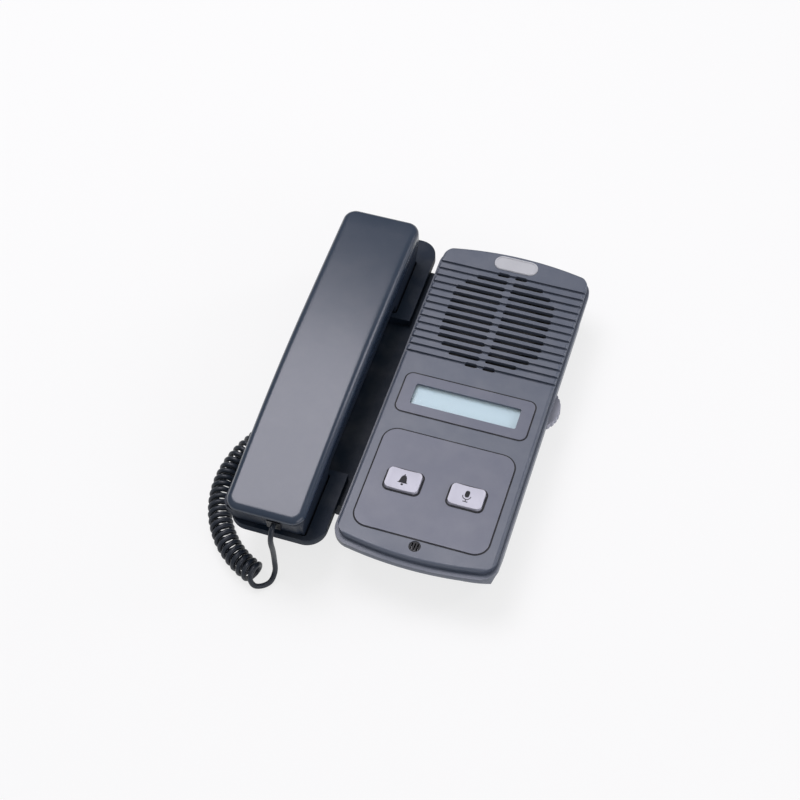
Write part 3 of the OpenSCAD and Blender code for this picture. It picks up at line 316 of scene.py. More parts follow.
FINISHES = [
    Finish("case_grey", (0.077, 0.093, 0.128), (0.086, 0.103, 0.14), rough=0.37, specular=0.6),
    Finish(
        "plate_grey", (0.097, 0.109, 0.152), (0.106, 0.118, 0.162), rough=0.37, specular=0.6,
        pits=4000.0, pit_height=0.01 * MM,
    ),
    Finish(
        "key_grey", (0.53, 0.53, 0.61), (0.57, 0.57, 0.65), rough=0.42, worn=(0.75, 0.75, 0.78),
        wear=0.3,
    ),
    Finish(
        "badge_silver", (0.44, 0.45, 0.47), (0.49, 0.5, 0.52), rough=0.4, metal=0.15,
        specular=0.6, worn=(0.8, 0.8, 0.82),
    ),
    Finish(
        "display_glass", (0.8, 0.93, 0.95), (0.85, 0.95, 0.97), rough=0.06, rough_swing=0.02,
        alpha=0.12, pit_height=0.0, wear=0.0, dust=0.02,
    ),
    Finish(
        "display_cell", (0.58, 0.74, 0.81), (0.61, 0.77, 0.83), rough=0.35, coat=0.6,
        coat_rough=0.08, pit_height=0.0, wear=0.0, dust=0.0,
    ),
    Finish(
        "handset_navy", (0.019, 0.033, 0.058), (0.021, 0.035, 0.061), rough=0.22,
        rough_swing=0.008, specular=0.6, pits=3600.0, pit_height=0.006 * MM,
        worn=(0.12, 0.13, 0.15), wear=0.2, dust=0.015,
    ),
    # darker, duller copy of handset_navy for the lower shell and its wall: painted shade
    Finish(
        "handset_navy_shaded", (0.012, 0.019, 0.033), (0.015, 0.022, 0.037), specular=0.2,
        worn=(0.06, 0.07, 0.085), wear=0.2,
    ),
    Finish(
        "cradle_black", (0.009, 0.016, 0.029), (0.011, 0.019, 0.034), specular=0.18,
        worn=(0.07, 0.08, 0.1),
    ),
    Finish(
        "cord_black", (0.01, 0.016, 0.026), (0.013, 0.019, 0.03), rough=0.4, specular=0.4,
        pit_height=0.006 * MM, wear=0.0, dust=0.04,
    ),
    Finish("plug_black", (0.012, 0.013, 0.016), (0.016, 0.017, 0.02), rough=0.2, wear=0.1),
    Finish(
        "foot_rubber", (0.014, 0.014, 0.015), (0.02, 0.02, 0.021), rough=0.75,
        worn=(0.06, 0.06, 0.06), dust=0.1,
    ),
    Finish(
        "wheel_grey", (0.33, 0.34, 0.4), (0.35, 0.36, 0.42), rough=0.45, worn=(0.35, 0.36, 0.4)
    ),
    # inner_black: dark inner parts, the key signs' print, and the painted seam shadows and shade
    # rings round the keys
    Finish(
        "inner_black", (0.01, 0.011, 0.014), (0.015, 0.016, 0.02), rough=0.6, specular=0.3,
        worn=(0.06, 0.06, 0.065),
    ),
    Finish(
        "board_green", (0.02, 0.1, 0.045), (0.03, 0.13, 0.06), rough=0.3,
        worn=(0.3, 0.25, 0.12), wear=0.15,
    ),
    Finish(
        "screw_steel", (0.55, 0.56, 0.58), (0.62, 0.62, 0.63), rough=0.3, metal=1.0,
        worn=(0.75, 0.75, 0.76),
    ),
    Finish("speaker_steel", (0.28, 0.29, 0.31), (0.33, 0.34, 0.36), rough=0.4, metal=1.0),
    Finish(
        "speaker_paper", (0.012, 0.012, 0.013), (0.02, 0.02, 0.021), rough=0.9, pits=1200.0,
        wear=0.0,
    ),
    Finish("magnet_grey", (0.06, 0.06, 0.064), (0.08, 0.08, 0.084), rough=0.7),
]


class Paint:
    """The finishes as materials, and the way they get onto pieces."""

    def __init__(self) -> None:
        """Build every finish."""
        effects = Effects()
        self.materials = {finish.name: finish.make(effects) for finish in FINISHES}

    def dress(self, piece: bpy.types.Object, slot: str, finish: str = "") -> None:
        """Give a piece its slot and its finish.

        Args:
            piece: the piece.
            slot: one of the record's material slots.
            finish: the finish, where it isn't the one that is named as the slot.
        """
        piece.data.materials.clear()
        piece.data.materials.append(self.materials[finish or slot])


# Surfaces


def ways(angle: np.ndarray | float) -> np.ndarray:
    """Return the unit vectors at some angles in radians: (cos a, sin a)."""
    return np.stack([np.cos(angle), np.sin(angle)], axis=-1)


@dataclass(frozen=True)
class Surface:
    """Grid of points, rows by columns.

    Its columns may run round in a ring and its rows in a loop, and the two end rows of a ring may
    be capped.
    """

    points: np.ndarray
    ring: bool = True
    loop: bool = False
    capped: bool = False

    def vertices(self) -> np.ndarray:
        """List the points row by row, and then the middle of each cap."""
        middles = [self.points[:1].mean(axis=1), self.points[-1:].mean(axis=1)] * self.capped
        return np.concatenate([self.points.reshape(-1, 3), *middles])

    def faces(self, start: int) -> list[list[int]]:
        """List the faces.

        The quad at row i, column j joins (i, j), (i, j + 1), (i + 1, j + 1) and (i + 1, j). A cap
        is a fan of triangles about its middle.

        Args:
            start: number of the surface's first vertex.

        Returns:
            The vertex numbers of each face.
        """
        rows, columns = self.points.shape[:2]
        row = np.arange(rows if self.loop else rows - 1)[:, None]
        i, above = row * columns + start, (row + 1) % rows * columns + start
        j = np.arange(columns if self.ring else columns - 1)
        k = (j + 1) % columns
        faces = np.stack([i + j, i + k, above + k, above + j], axis=-1).reshape(-1, 4).tolist()
        if self.capped:
            last = start + (rows - 1) * columns
            hub = np.full(columns, last + columns)
            faces += np.stack([start + k, start + j, hub], axis=-1).tolist()
            faces += np.stack([last + j, last + k, hub + 1], axis=-1).tolist()
        return faces


def make_piece(name: str, surfaces: list[Surface], sharp: float = 35.0) -> bpy.types.Object:
    """Make one object of several surfaces.

    Args:
        name: the object's name.
        surfaces: what it is made of.
        sharp: angle in degrees above which an edge stays sharp.

    Returns:
        The object, at the origin.
    """
    points = [surface.vertices() for surface in surfaces]
    starts = np.cumsum([0] + [len(p) for p in points])
    numbered = zip(surfaces, starts)
    faces = [face for surface, start in numbered for face in surface.faces(int(start))]
    mesh = bpy.data.meshes.new(name)
    mesh.from_pydata(np.concatenate(points).tolist(), [], faces)
    mesh.polygons.foreach_set("use_smooth", np.ones(len(mesh.polygons), bool))
    mesh.set_sharp_from_angle(angle=math.radians(sharp))
    mesh.update()
    piece = bpy.data.objects.new(name, mesh)
    bpy.context.scene.collection.objects.link(piece)
    return piece


@dataclass(frozen=True)
class Outline:
    """Closed plan outline of arcs that straight lines join, counter-clockwise.

    A point of arc k, set in by d, is centre_k + (radius_k - d) * (cos a, sin a). More points lie on
    the straight lines, at the shares of their length that along gives.
    """

    centres: np.ndarray
    radii: np.ndarray
    spans: np.ndarray
    along: np.ndarray
    steps: int = 14
    least_radius: float = 0.01 * MM

    def rings(self, insets: np.ndarray) -> np.ndarray:
        """Set the outline in.

        Args:
            insets: how far.

        Returns:
            One row of plan points for each inset.
        """
        share = np.linspace(0.0, 1.0, self.steps + 1)
        way = ways(self.spans[:, :1] + (self.spans[:, 1:] - self.spans[:, :1]) * share)
        radius = np.maximum(self.radii[None, :] - insets[:, None], self.least_radius)
        arcs = self.centres[None, :, None, :] + radius[:, :, None, None] * way[None]
        leave, reach = arcs[:, :, -1:], np.roll(arcs[:, :, :1], -1, axis=1)
        sides = leave + (reach - leave) * self.along[None, None, :, None]
        return np.concatenate([arcs, sides], axis=2).reshape(len(insets), -1, 2)

    def loft(self, rows: np.ndarray) -> np.ndarray:
        """Carry the outline along a profile.

        Args:
            rows: the profile's points (inset, z).

        Returns:
            One row of points for each point of the profile.
        """
        plan = self.rings(rows[:, 0])
        height = np.broadcast_to(rows[:, 1, None, None], (*plan.shape[:2], 1))
        return np.concatenate([plan, height], axis=-1)


def round_box(
    centre: Pair, width: float, length: float, radius: float, along: np.ndarray | tuple = ()
) -> Outline:
    """Return the outline of a rectangle with a quarter circle at each corner.

    Args:
        centre: its middle.
        width: its size along x.
        length: its size along y.
        radius: radius of its corners.
        along: shares of its sides' length at which more points lie.

    Returns:
        The outline.
    """
    side = np.array([[1, 1], [-1, 1], [-1, -1], [1, -1]], float)
    middles = np.array(centre) + side * (np.array([width, length]) / 2 - radius)
    starts = np.radians([0.0, 90.0, 180.0, 270.0])
    spans = np.stack([starts, starts + math.pi / 2], axis=-1)
    return Outline(middles, np.full(len(side), radius), spans, np.array(along, float))


def spline(points: np.ndarray, steps: int) -> np.ndarray:
    """Lay a smooth curve through points: Catmull-Rom, with the end points doubled.

    On one span p(t) = (2 b + (c - a) t + (2 a - 5 b + 4 c - d) t^2 + (3 b - a - 3 c + d) t^3) / 2.

    Args:
        points: the points.
        steps: how many steps lie between two of them.

    Returns:
        The points of the curve.
    """
    p = np.concatenate([points[:1], points, points[-1:]])
    a, b, c, d = p[:-3, None], p[1:-2, None], p[2:-1, None], p[3:, None]
    t = np.linspace(0.0, 1.0, steps, endpoint=False)[None, :, None]
    square, cube = 2 * a - 5 * b + 4 * c - d, 3 * b - a - 3 * c + d
    curve = (2 * b + (c - a) * t + square * t**2 + cube * t**3) / 2
    return np.concatenate([curve.reshape(-1, 3), points[-1:]])


def middle(node: str) -> Pair:
    """Return the plan middle of a node's box."""
    low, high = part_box(node)
    return (low[0] + high[0]) / 2, (low[1] + high[1]) / 2


# Camera, stage and light


@dataclass(frozen=True)
class Lamp:
    """Rectangular soft lamp that looks at a target."""

    name: str
    place: Point
    size: Pair
    power: float
    target: Point = (0.0, 0.0, 30.0 * MM)

    def build(self, tint: Colour) -> None:
        """Hang the lamp.

        Args:
            tint: colour of its light.
        """
        data = bpy.data.lights.new(self.name, "AREA")
        data.shape = "RECTANGLE"
        data.size, data.size_y = self.size
        data.energy = self.power
        data.color = tint
        lamp = bpy.data.objects.new(self.name, data)
        bpy.context.scene.collection.objects.link(lamp)
        x, y, z = np.array(self.target) - np.array(self.place)
        lamp.location = self.place
        tilt = math.atan2(math.hypot(x, y), -z)
        lamp.rotation_euler = (tilt, 0.0, math.atan2(x, -y) + math.pi)


@dataclass(frozen=True)
class Studio:
    """Camera at the photograph's place, a pale floor and soft light."""

    eye: Point = (0.17327, -0.49422, 0.7959)
    azimuth: float = 20.6
    elevation: float = 55.69
    roll: float = 3.12
    lens: float = 74.25
    sensor: float = 36.0
    near_clip: float = 10.0 * MM
    floor_size: float = 6.0
    floor_white: float = 0.86
    floor_glow: float = 0.75
    zenith: float = 0.5
    horizon: float = 0.26
    lamp_tint: Colour = (1.0, 0.965, 1.05)
    lamps: tuple[Lamp, ...] = (
        Lamp("back_softbox", (-0.43, 0.34, 1.3), (0.85, 0.74), 11.0, (0.0, 0.0, 0.0)),
        Lamp("side_strip", (1.3, 0.9, 0.75), (0.35, 0.9), 4.0),
        Lamp("front_fill", (1.15, -0.7, 0.5), (1.0, 0.7), 4.5),
    )

    def build(self) -> None:
        """Make the camera, the floor, the sky and the lamps."""
        self.make_camera()
        self.make_floor()
        self.make_sky()
        for lamp in self.lamps:
            lamp.build(self.lamp_tint)
        bpy.context.scene.view_settings.view_transform = "Standard"

    def make_camera(self) -> None:
        """Place the camera by its azimuth, elevation and roll."""
        camera = bpy.data.objects.new("camera", bpy.data.cameras.new("camera"))
        bpy.context.scene.collection.objects.link(camera)
        tilt, pan = math.radians(90.0 - self.elevation), math.radians(self.azimuth)
        turn = Euler((tilt, 0.0, pan)).to_matrix()
        turn = turn @ Matrix.Rotation(-math.radians(self.roll), 3, "Z")
        camera.matrix_world = Matrix.Translation(self.eye) @ turn.to_4x4()
        camera.data.lens = self.lens
        camera.data.sensor_width = self.sensor
        camera.data.clip_start = self.near_clip
        bpy.context.scene.camera = camera

    def backdrop_share(self, tree: Tree) -> bpy.types.NodeSocket:
        """Tell the rays that see the backdrop itself.

        Args:
            tree: the tree of the floor's material.

        Returns:
            1 for rays from the camera, mirrors and glass, and 0 for the rest.
        """
        path = tree.add("ShaderNodeLightPath").outputs
        seen = tree.math("MAXIMUM", path["Is Camera Ray"], path["Is Glossy Ray"])
        return tree.math("MAXIMUM", seen, path["Is Transmission Ray"])

    def make_floor(self) -> None:
        """Lay a pale floor that looks near white and keeps the object's shadow."""
        half = np.array([-self.floor_size, self.floor_size]) / 2
        y, x = np.meshgrid(half, half, indexing="ij")
        floor = make_piece("floor", [Surface(np.dstack([x, y, 0.0 * x]), ring=False)])
        material = bpy.data.materials.new("floor_white")
        material.use_nodes = True
        material.node_tree.nodes.clear()
        tree = Tree(material.node_tree)
        pale = (self.floor_white, self.floor_white, self.floor_white, 1.0)
        plain = tree.add("ShaderNodeBsdfDiffuse", {"Color": pale})
        glow = tree.add("ShaderNodeEmission", {"Color": WHITE, "Strength": 1.0})
        share = tree.math("MULTIPLY", self.backdrop_share(tree), self.floor_glow)
        both = {0: share, 1: plain.outputs[0], 2: glow.outputs[0]}
        mixed = tree.add("ShaderNodeMixShader", both)
        output = tree.add("ShaderNodeOutputMaterial")
        tree.join(mixed.outputs[0], output.inputs["Surface"])
        floor.data.materials.append(material)

    def make_sky(self) -> None:
        """Fill light from all round, brighter overhead than at the horizon."""
        world = bpy.data.worlds.new("sky")
        world.use_nodes = True
        world.node_tree.nodes.clear()
        tree = Tree(world.node_tree)
        way = tree.add("ShaderNodeTexCoord").outputs["Generated"]
        height = tree.add("ShaderNodeSeparateXYZ", {0: way}).outputs["Z"]
        strength = tree.span(height, (0.0, 1.0), (self.horizon, self.zenith))
        light = tree.add("ShaderNodeBackground", {"Color": WHITE, "Strength": strength})
        output = tree.add("ShaderNodeOutputWorld")
        tree.join(light.outputs[0], output.inputs["Surface"])
        bpy.context.scene.world = world


# The cord


@dataclass(frozen=True)
class Cord:
    """Curly cord: a lead from the handset, a helix along arcs on the desk, a lead to the cradle.

    The helix is p(t) = axis(s) + r * (cos f * left + sin f * up), with f = start_phase + turns *
    360 deg * t. A loop leads from its top down to the desk, and the handset's lead goes on from
    there. The points of the loop and the leads are in mm from the axis' start or from the plug
    they lead to.
    """

    wire: float = 3.0 * MM
    curl: float = 13.6 * MM
    turns: float = 32.75
    start_phase: float = 90.0
    axis_height: float = 7.1 * MM
    arc_from_wall: Pair = (38.45 * MM, -80.85 * MM)
    arc_radius: float = 54.0 * MM
    arc_from: float = 251.0
    arc_turn: float = 99.0
    back_radius: float = 40.0 * MM
    back_turn: float = 28.0
    straight: float = 21.0 * MM
    steps_per_turn: int = 32
    lead_steps: int = 6
    wire_resolution: int = 3
    follow_from: Point = (-0.047, -0.115, 0.016)
    follow_to: Point = (-0.047, -0.115, 0.0435)
    loop_low: tuple[Point, ...] = (
        (-0.6, -3.2, 11.3), (-0.6, -5.0, 8.9), (0.4, -5.8, 6.0), (2.2, -5.6, 3.5),
        (4.8, -4.0, 2.1), (7.4, -1.6, 1.7),
    )
    lead_low: tuple[Point, ...] = ((8.8, 1.0, 2.0), (9.5, 3.6, 4.0), (9.8, 5.6, 7.6))
    lead_high: tuple[Point, ...] = (
        (-0.7, -4.6, -30.0), (-0.5, -4.6, -24.0), (-0.2, -5.2, -17.0), (0.0, -6.0, -11.0),
        (0.0, -6.0, -6.6), (0.0, -4.8, -2.8), (0.0, -2.8, -0.5),
    )
    lead_wall: tuple[Point, ...] = (
        (-9.9, -14.2, -5.2), (-9.5, -10.2, -2.0), (-8.0, -5.2, -0.4), (-5.5, -1.4, 0.0),
    )

    def wall_plug(self) -> np.ndarray:
        """Return the middle of the face of the plug in the cradle's wall."""
        low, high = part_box("cradle_plug")
        return np.array([low[0], (low[1] + high[1]) / 2, (low[2] + high[2]) / 2])

    def hand_plug(self) -> np.ndarray:
        """Return the middle of the face of the plug in the handset."""
        low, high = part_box("handset_plug")
        return np.array([(low[0] + high[0]) / 2, low[1], (low[2] + high[2]) / 2])

    def axis(self, s: np.ndarray) -> tuple[np.ndarray, np.ndarray]:
        """Follow the axis of the curls: an arc, a counter arc and a straight.

        Args:
            s: distances along the axis.

        Returns:
            The points on the desk plan and the headings in radians.
        """
        first = self.arc_radius * math.radians(self.arc_turn)
        second = self.back_radius * math.radians(self.back_turn)
        turned = np.clip(s, 0.0, first) / self.arc_radius
        bent = np.clip(s - first, 0.0, second) / self.back_radius
        run = np.clip(s - first - second, 0.0, None)
        angle = math.radians(self.arc_from) - turned
        heading = angle - math.pi / 2 + bent
        plan = self.wall_plug()[:2] + self.arc_from_wall + self.arc_radius * ways(angle)
        swing = math.radians(self.arc_from - self.arc_turn) + math.pi
        back = self.back_radius * (ways(swing + bent) - ways(swing))
        return plan + back + run[:, None] * ways(heading), heading

    def helix(self) -> np.ndarray:
        """Work out the curls.

        Returns:
            The points along their wire.
        """
        t = np.linspace(0.0, 1.0, int(self.turns * self.steps_per_turn) + 1)
        length = self.arc_radius * math.radians(self.arc_turn)
        length += self.back_radius * math.radians(self.back_turn) + self.straight
        plan, heading = self.axis(length * t)
        phase = math.radians(self.start_phase) + 2 * math.pi * self.turns * t
        radius = (self.curl - self.wire) / 2
        side = radius * np.cos(phase)
        x = plan[:, 0] - side * np.sin(heading)
        y = plan[:, 1] + side * np.cos(heading)
        return np.stack([x, y, self.axis_height + radius * np.sin(phase)], axis=-1)

    def path(self) -> np.ndarray:
        """Work out the whole route, from the handset's plug to the plug in the cradle.

        Returns:
            The points along the wire.
        """
        hand, wall, curls = self.hand_plug(), self.wall_plug(), self.helix()
        foot = np.array([*self.axis(np.zeros(1))[0][0], 0.0])
        ahead = curls[-1] - curls[-2]
        last = curls[-1] + ahead / np.linalg.norm(ahead) * self.wire
        stub = np.array([0.0, -self.wire / 2, 0.0])
        high = hand + np.array(self.lead_high)[::-1] * MM
        low = foot + np.array(self.loop_low + self.lead_low)[::-1] * MM
        lead = np.concatenate([[hand, hand + stub], high, low, [curls[0]]])
        to_wall = wall + np.array(self.lead_wall) * MM
        tail = np.concatenate([[curls[-1], last], to_wall, [wall + stub[[1, 0, 2]], wall]])
        ends = spline(lead, self.lead_steps)[:-1], spline(tail, self.lead_steps)[1:]
        return np.concatenate([ends[0], curls, ends[1]])

    def tube(self, path: np.ndarray) -> bpy.types.Object:
        """Carry the wire's round section along the route.

        Args:
            path: the points of the route.

        Returns:
            The tube, at the origin.
        """
        curve = bpy.data.curves.new("cord_line", "CURVE")
        curve.dimensions = "3D"
        curve.bevel_depth = self.wire / 2
        curve.bevel_resolution = self.wire_resolution
        curve.use_fill_caps = True
        line = curve.splines.new("POLY")
        line.points.add(len(path) - 1)
        weighted = np.concatenate([path, np.ones((len(path), 1))], axis=1)
        line.points.foreach_set("co", weighted.ravel())
        holder = bpy.data.objects.new("cord_line", curve)
        bpy.context.scene.collection.objects.link(holder)
        graph = bpy.context.evaluated_depsgraph_get()
        mesh = bpy.data.meshes.new_from_object(holder.evaluated_get(graph))
        bpy.data.objects.remove(holder)
        mesh.name = "curly_cord_tube"
        mesh.polygons.foreach_set("use_smooth", np.ones(len(mesh.polygons), bool))
        cord = bpy.data.objects.new("curly_cord_tube", mesh)
        bpy.context.scene.collection.objects.link(cord)
        return cord

    def build(self, paint: Paint) -> list[bpy.types.Object]:
        """Args:
            paint: the finishes.

        Returns:
            The cord.
        """
        path = self.path()
        cord = self.tube(path)
        paint.dress(cord, "cord_black")
        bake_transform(cord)
        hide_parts("handset_lead", "curly_cord", "cradle_lead")
        return [cord]


# Handset, keys and display


@dataclass(frozen=True)
class HandsetBack:
    """Back of the handset: a long crowned lid with round corners, over a shadow gap at the seam.

    Its crown is z(y) = top - fall * ((y - peak) / reach)^2, with a fall and a reach of its own on
    each side of the peak. Its edge is a quarter ellipse, and the rest of the top is the edge's ring
    drawn in towards the middle.
    """

    corner: float = 7.5 * MM
    edge: float = 4.0 * MM
    edge_share: float = 0.8
    seam_gap: float = 0.25 * MM
    seam_inset: float = 0.5 * MM
    seam_depth: float = 1.8 * MM
    peak: float = 20.0 * MM
    near_fall: float = 7.5 * MM
    far_fall: float = 0.8 * MM
    near_taper: float = 2.0 * MM
    edge_steps: int = 10
    draws: int = 12
    last_draw: float = 0.02
    side_steps: int = 30
    sharp: float = 50.0

    def near_share(self, y: np.ndarray) -> np.ndarray:
        """Return 0 at the crown's peak and behind it, and 1 at the near end."""
        low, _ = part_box(LID_NODE)
        return np.clip((self.peak - y) / (self.peak - low[1]), 0.0, None)

    def lid_height(self, y: np.ndarray) -> np.ndarray:
        """Work out the crown.

        Args:
            y: places along the handset.

        Returns:
            The lid's height above its seam.
        """
        low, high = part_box(LID_NODE)
        far = np.clip((y - self.peak) / (high[1] - self.peak), 0.0, None)
        fall = self.near_fall * self.near_share(y)**2 + self.far_fall * far**2
        return high[2] - low[2] - self.seam_gap - fall

    def tapered(self, points: np.ndarray) -> np.ndarray:
        """Draw the left side in: x + taper * share(y)^2 * (right - x) / width.

        Args:
            points: the points of the plain lid.

        Returns:
            The points of the lid that narrows towards its near end.
        """
        low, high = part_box(LID_NODE)
        left_share = (high[0] - points[..., 0]) / (high[0] - low[0])
        pull = self.near_taper * self.near_share(points[..., 1])**2 * left_share
        return points + np.stack([pull, 0.0 * pull, 0.0 * pull], axis=-1)

    def points(self) -> np.ndarray:
        """Work out the lid's foot, its wall and edge, and the rings drawn in over its top.

        Returns:
            The rows of the lid.
        """
        low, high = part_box(LID_NODE)
        centre = np.array(middle(LID_NODE))
        along = np.linspace(0.0, 1.0, self.side_steps + 2)[1:-1]
        width, length = high[0] - low[0], high[1] - low[1]
        plan = round_box(middle(LID_NODE), width, length, self.corner, along)
        t = np.linspace(0.0, math.pi / 2, self.edge_steps)
        foot = plan.rings(np.array([self.seam_depth, self.seam_inset, 0.0]))
        rim = plan.rings(self.edge * (1 - np.cos(t)))
        share = np.linspace(1.0, self.last_draw, self.draws + 1)[1:, None, None]
        drawn = centre + (rim[-1:] - centre) * share
        base = low[2] + self.seam_gap
        steps = base + np.array([0.0, 0.0, self.seam_inset])
        foot_z = np.broadcast_to(steps[:, None], foot.shape[:2])
        height = self.lid_height(rim[..., 1])
        curve = np.minimum(self.edge, self.edge_share * height)
        rim_z = base + height - curve * (1 - np.sin(t))[:, None]
        drawn_z = base + self.lid_height(drawn[..., 1])
        pairs = ((foot, foot_z), (rim, rim_z), (drawn, drawn_z))
        return self.tapered(np.concatenate([np.dstack(pair) for pair in pairs]))

    def build(self, paint: Paint) -> list[bpy.types.Object]:
        """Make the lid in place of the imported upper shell.

        Args:
            paint: the finishes.

        Returns:
            The lid.
        """
        lid = make_piece("handset_back", [Surface(self.points(), capped=True)], self.sharp)
        paint.dress(lid, "handset_navy")
        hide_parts(LID_NODE)
        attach(lid, Body.HANDSET.value)
        return [lid]


@dataclass(frozen=True)
class HandsetSkirt:
    """Smooth side wall of the handset's lower shell, from the seam down to its ends and its grip.

    Each point is plan(u) + inward(u) * lean * drop, and the two ends lean in further, by end_lean *
    drop. The lower edge lies at the foot over the ends, and a quarter circle of radius r takes it
    up to the grip: z(d) = grip - r + sqrt(r^2 - (d - d0)^2), with d the distance from the
    handset's middle.
    """

    inset: float = 0.55 * MM
    corner: float = 6.0 * MM
    top_gap: float = 0.05 * MM
    foot: float = 28.0 * MM
    grip: float = 41.2 * MM
    hollow_half: float = 59.2 * MM
    hollow_radius: float = 8.0 * MM
    side_lean: float = 2.35 * MM
    end_lean: float = 4.1 * MM
    lean_from: float = 75.0 * MM
    thickness: float = 0.3 * MM
    rows: int = 9
    side_steps: int = 24
    bend_reach: Pair = (-0.6 * MM, 9.0 * MM)
    bend_steps: int = 24
    sharp: float = 60.0

    def low_edge(self, d: np.ndarray) -> np.ndarray:
        """Work out the lower edge.

        Args:
            d: distances from the handset's middle.

        Returns:
            The edge's heights.
        """
        start = self.hollow_half - self.hollow_radius
        out = np.clip(d - start, 0.0, self.hollow_radius)
        arc = self.grip - self.hollow_radius + np.sqrt(self.hollow_radius**2 - out**2)
        return np.where(d > self.hollow_half, self.foot, arc)

    def plan(self, width: float, length: float) -> Outline:
        """Lay out the wall's upper edge, with more points where the grip's hollow bends.

        Args:
            width: the edge's size across the handset.
            length: its size along it.

        Returns:
            The outline.
        """
        straight = length - 2 * self.corner
        reach = np.linspace(*self.bend_reach, self.bend_steps)
        bend = (straight / 2 - self.hollow_half + reach) / straight
        even = np.linspace(0.0, 1.0, self.side_steps + 2)[1:-1]
        along = np.unique(np.concatenate([even, bend, 1.0 - bend]))
        return round_box(middle(LID_NODE), width, length, self.corner, along)

    def points(self) -> np.ndarray:
        """Work out the wall, from its lower edge up to the seam.

        Returns:
            The rows of the wall.
        """
        low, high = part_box(LID_NODE)
        width, length = (high[axis] - low[axis] - 2 * self.inset for axis in (0, 1))
        wall, inner = self.plan(width, length).rings(np.array([0.0, MM]))
        inward = (inner - wall) / MM
        ahead = wall[:, 1] - middle(LID_NODE)[1]
        distance = np.abs(ahead)
        top = low[2] - self.top_gap
        share = np.linspace(1.0, 0.0, self.rows)[:, None]
        height = top + (self.low_edge(distance) - top) * share
        drop = (top - height) / (top - self.foot)
        place = wall + inward * (self.side_lean * drop)[..., None]
        reach = length / 2 - self.corner - self.lean_from
        end = np.clip((distance - self.lean_from) / reach, 0.0, 1.0)
        place[..., 1] -= np.sign(ahead) * self.end_lean * drop * end
        return np.dstack([place, height])

    def build(self, paint: Paint) -> list[bpy.types.Object]:
        """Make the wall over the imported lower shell.

        Args:
            paint: the finishes.

        Returns:
            The wall.
        """
        skirt = make_piece("handset_skirt", [Surface(self.points())], self.sharp)
        wall = skirt.modifiers.new("wall", "SOLIDIFY")
        wall.thickness = self.thickness
        # the wall takes the darker copy of the navy, painted shade
        paint.dress(skirt, "handset_navy", "handset_navy_shaded")
        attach(skirt, Body.HANDSET.value)
        return [skirt]


@dataclass(frozen=True)
class SeamShadowBand:
    """Painted shadow round an inlaid plate: a thin dark band carried round the plate's outline."""

    node: str
    corner: float
    width: float = 0.9 * MM
    gap: float = 0.02 * MM
    sink: float = 0.3 * MM
    rise: float = 0.03 * MM

    def build(self, paint: Paint) -> list[bpy.types.Object]:
        """Lay the painted shadow band on the cover's face, against the plate.

        Args:
            paint: the finishes.

        Returns:
            The band.
        """
        low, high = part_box(self.node)
        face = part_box("front_cover")[1][2]
        plan = round_box(middle(self.node), high[0] - low[0], high[1] - low[1], self.corner)
        outer, inner, top, under = -self.width, -self.gap, face + self.rise, face - self.sink
        band = np.array([[outer, under], [outer, top], [inner, top], [inner, under]])
        line = make_piece(f"{self.node}_line", [Surface(plan.loft(band), loop=True)])
        # inner_black on this band is painted shadow for the seam
        paint.dress(line, "inner_black")
        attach(line, Body.STATION.value)
        return [line]


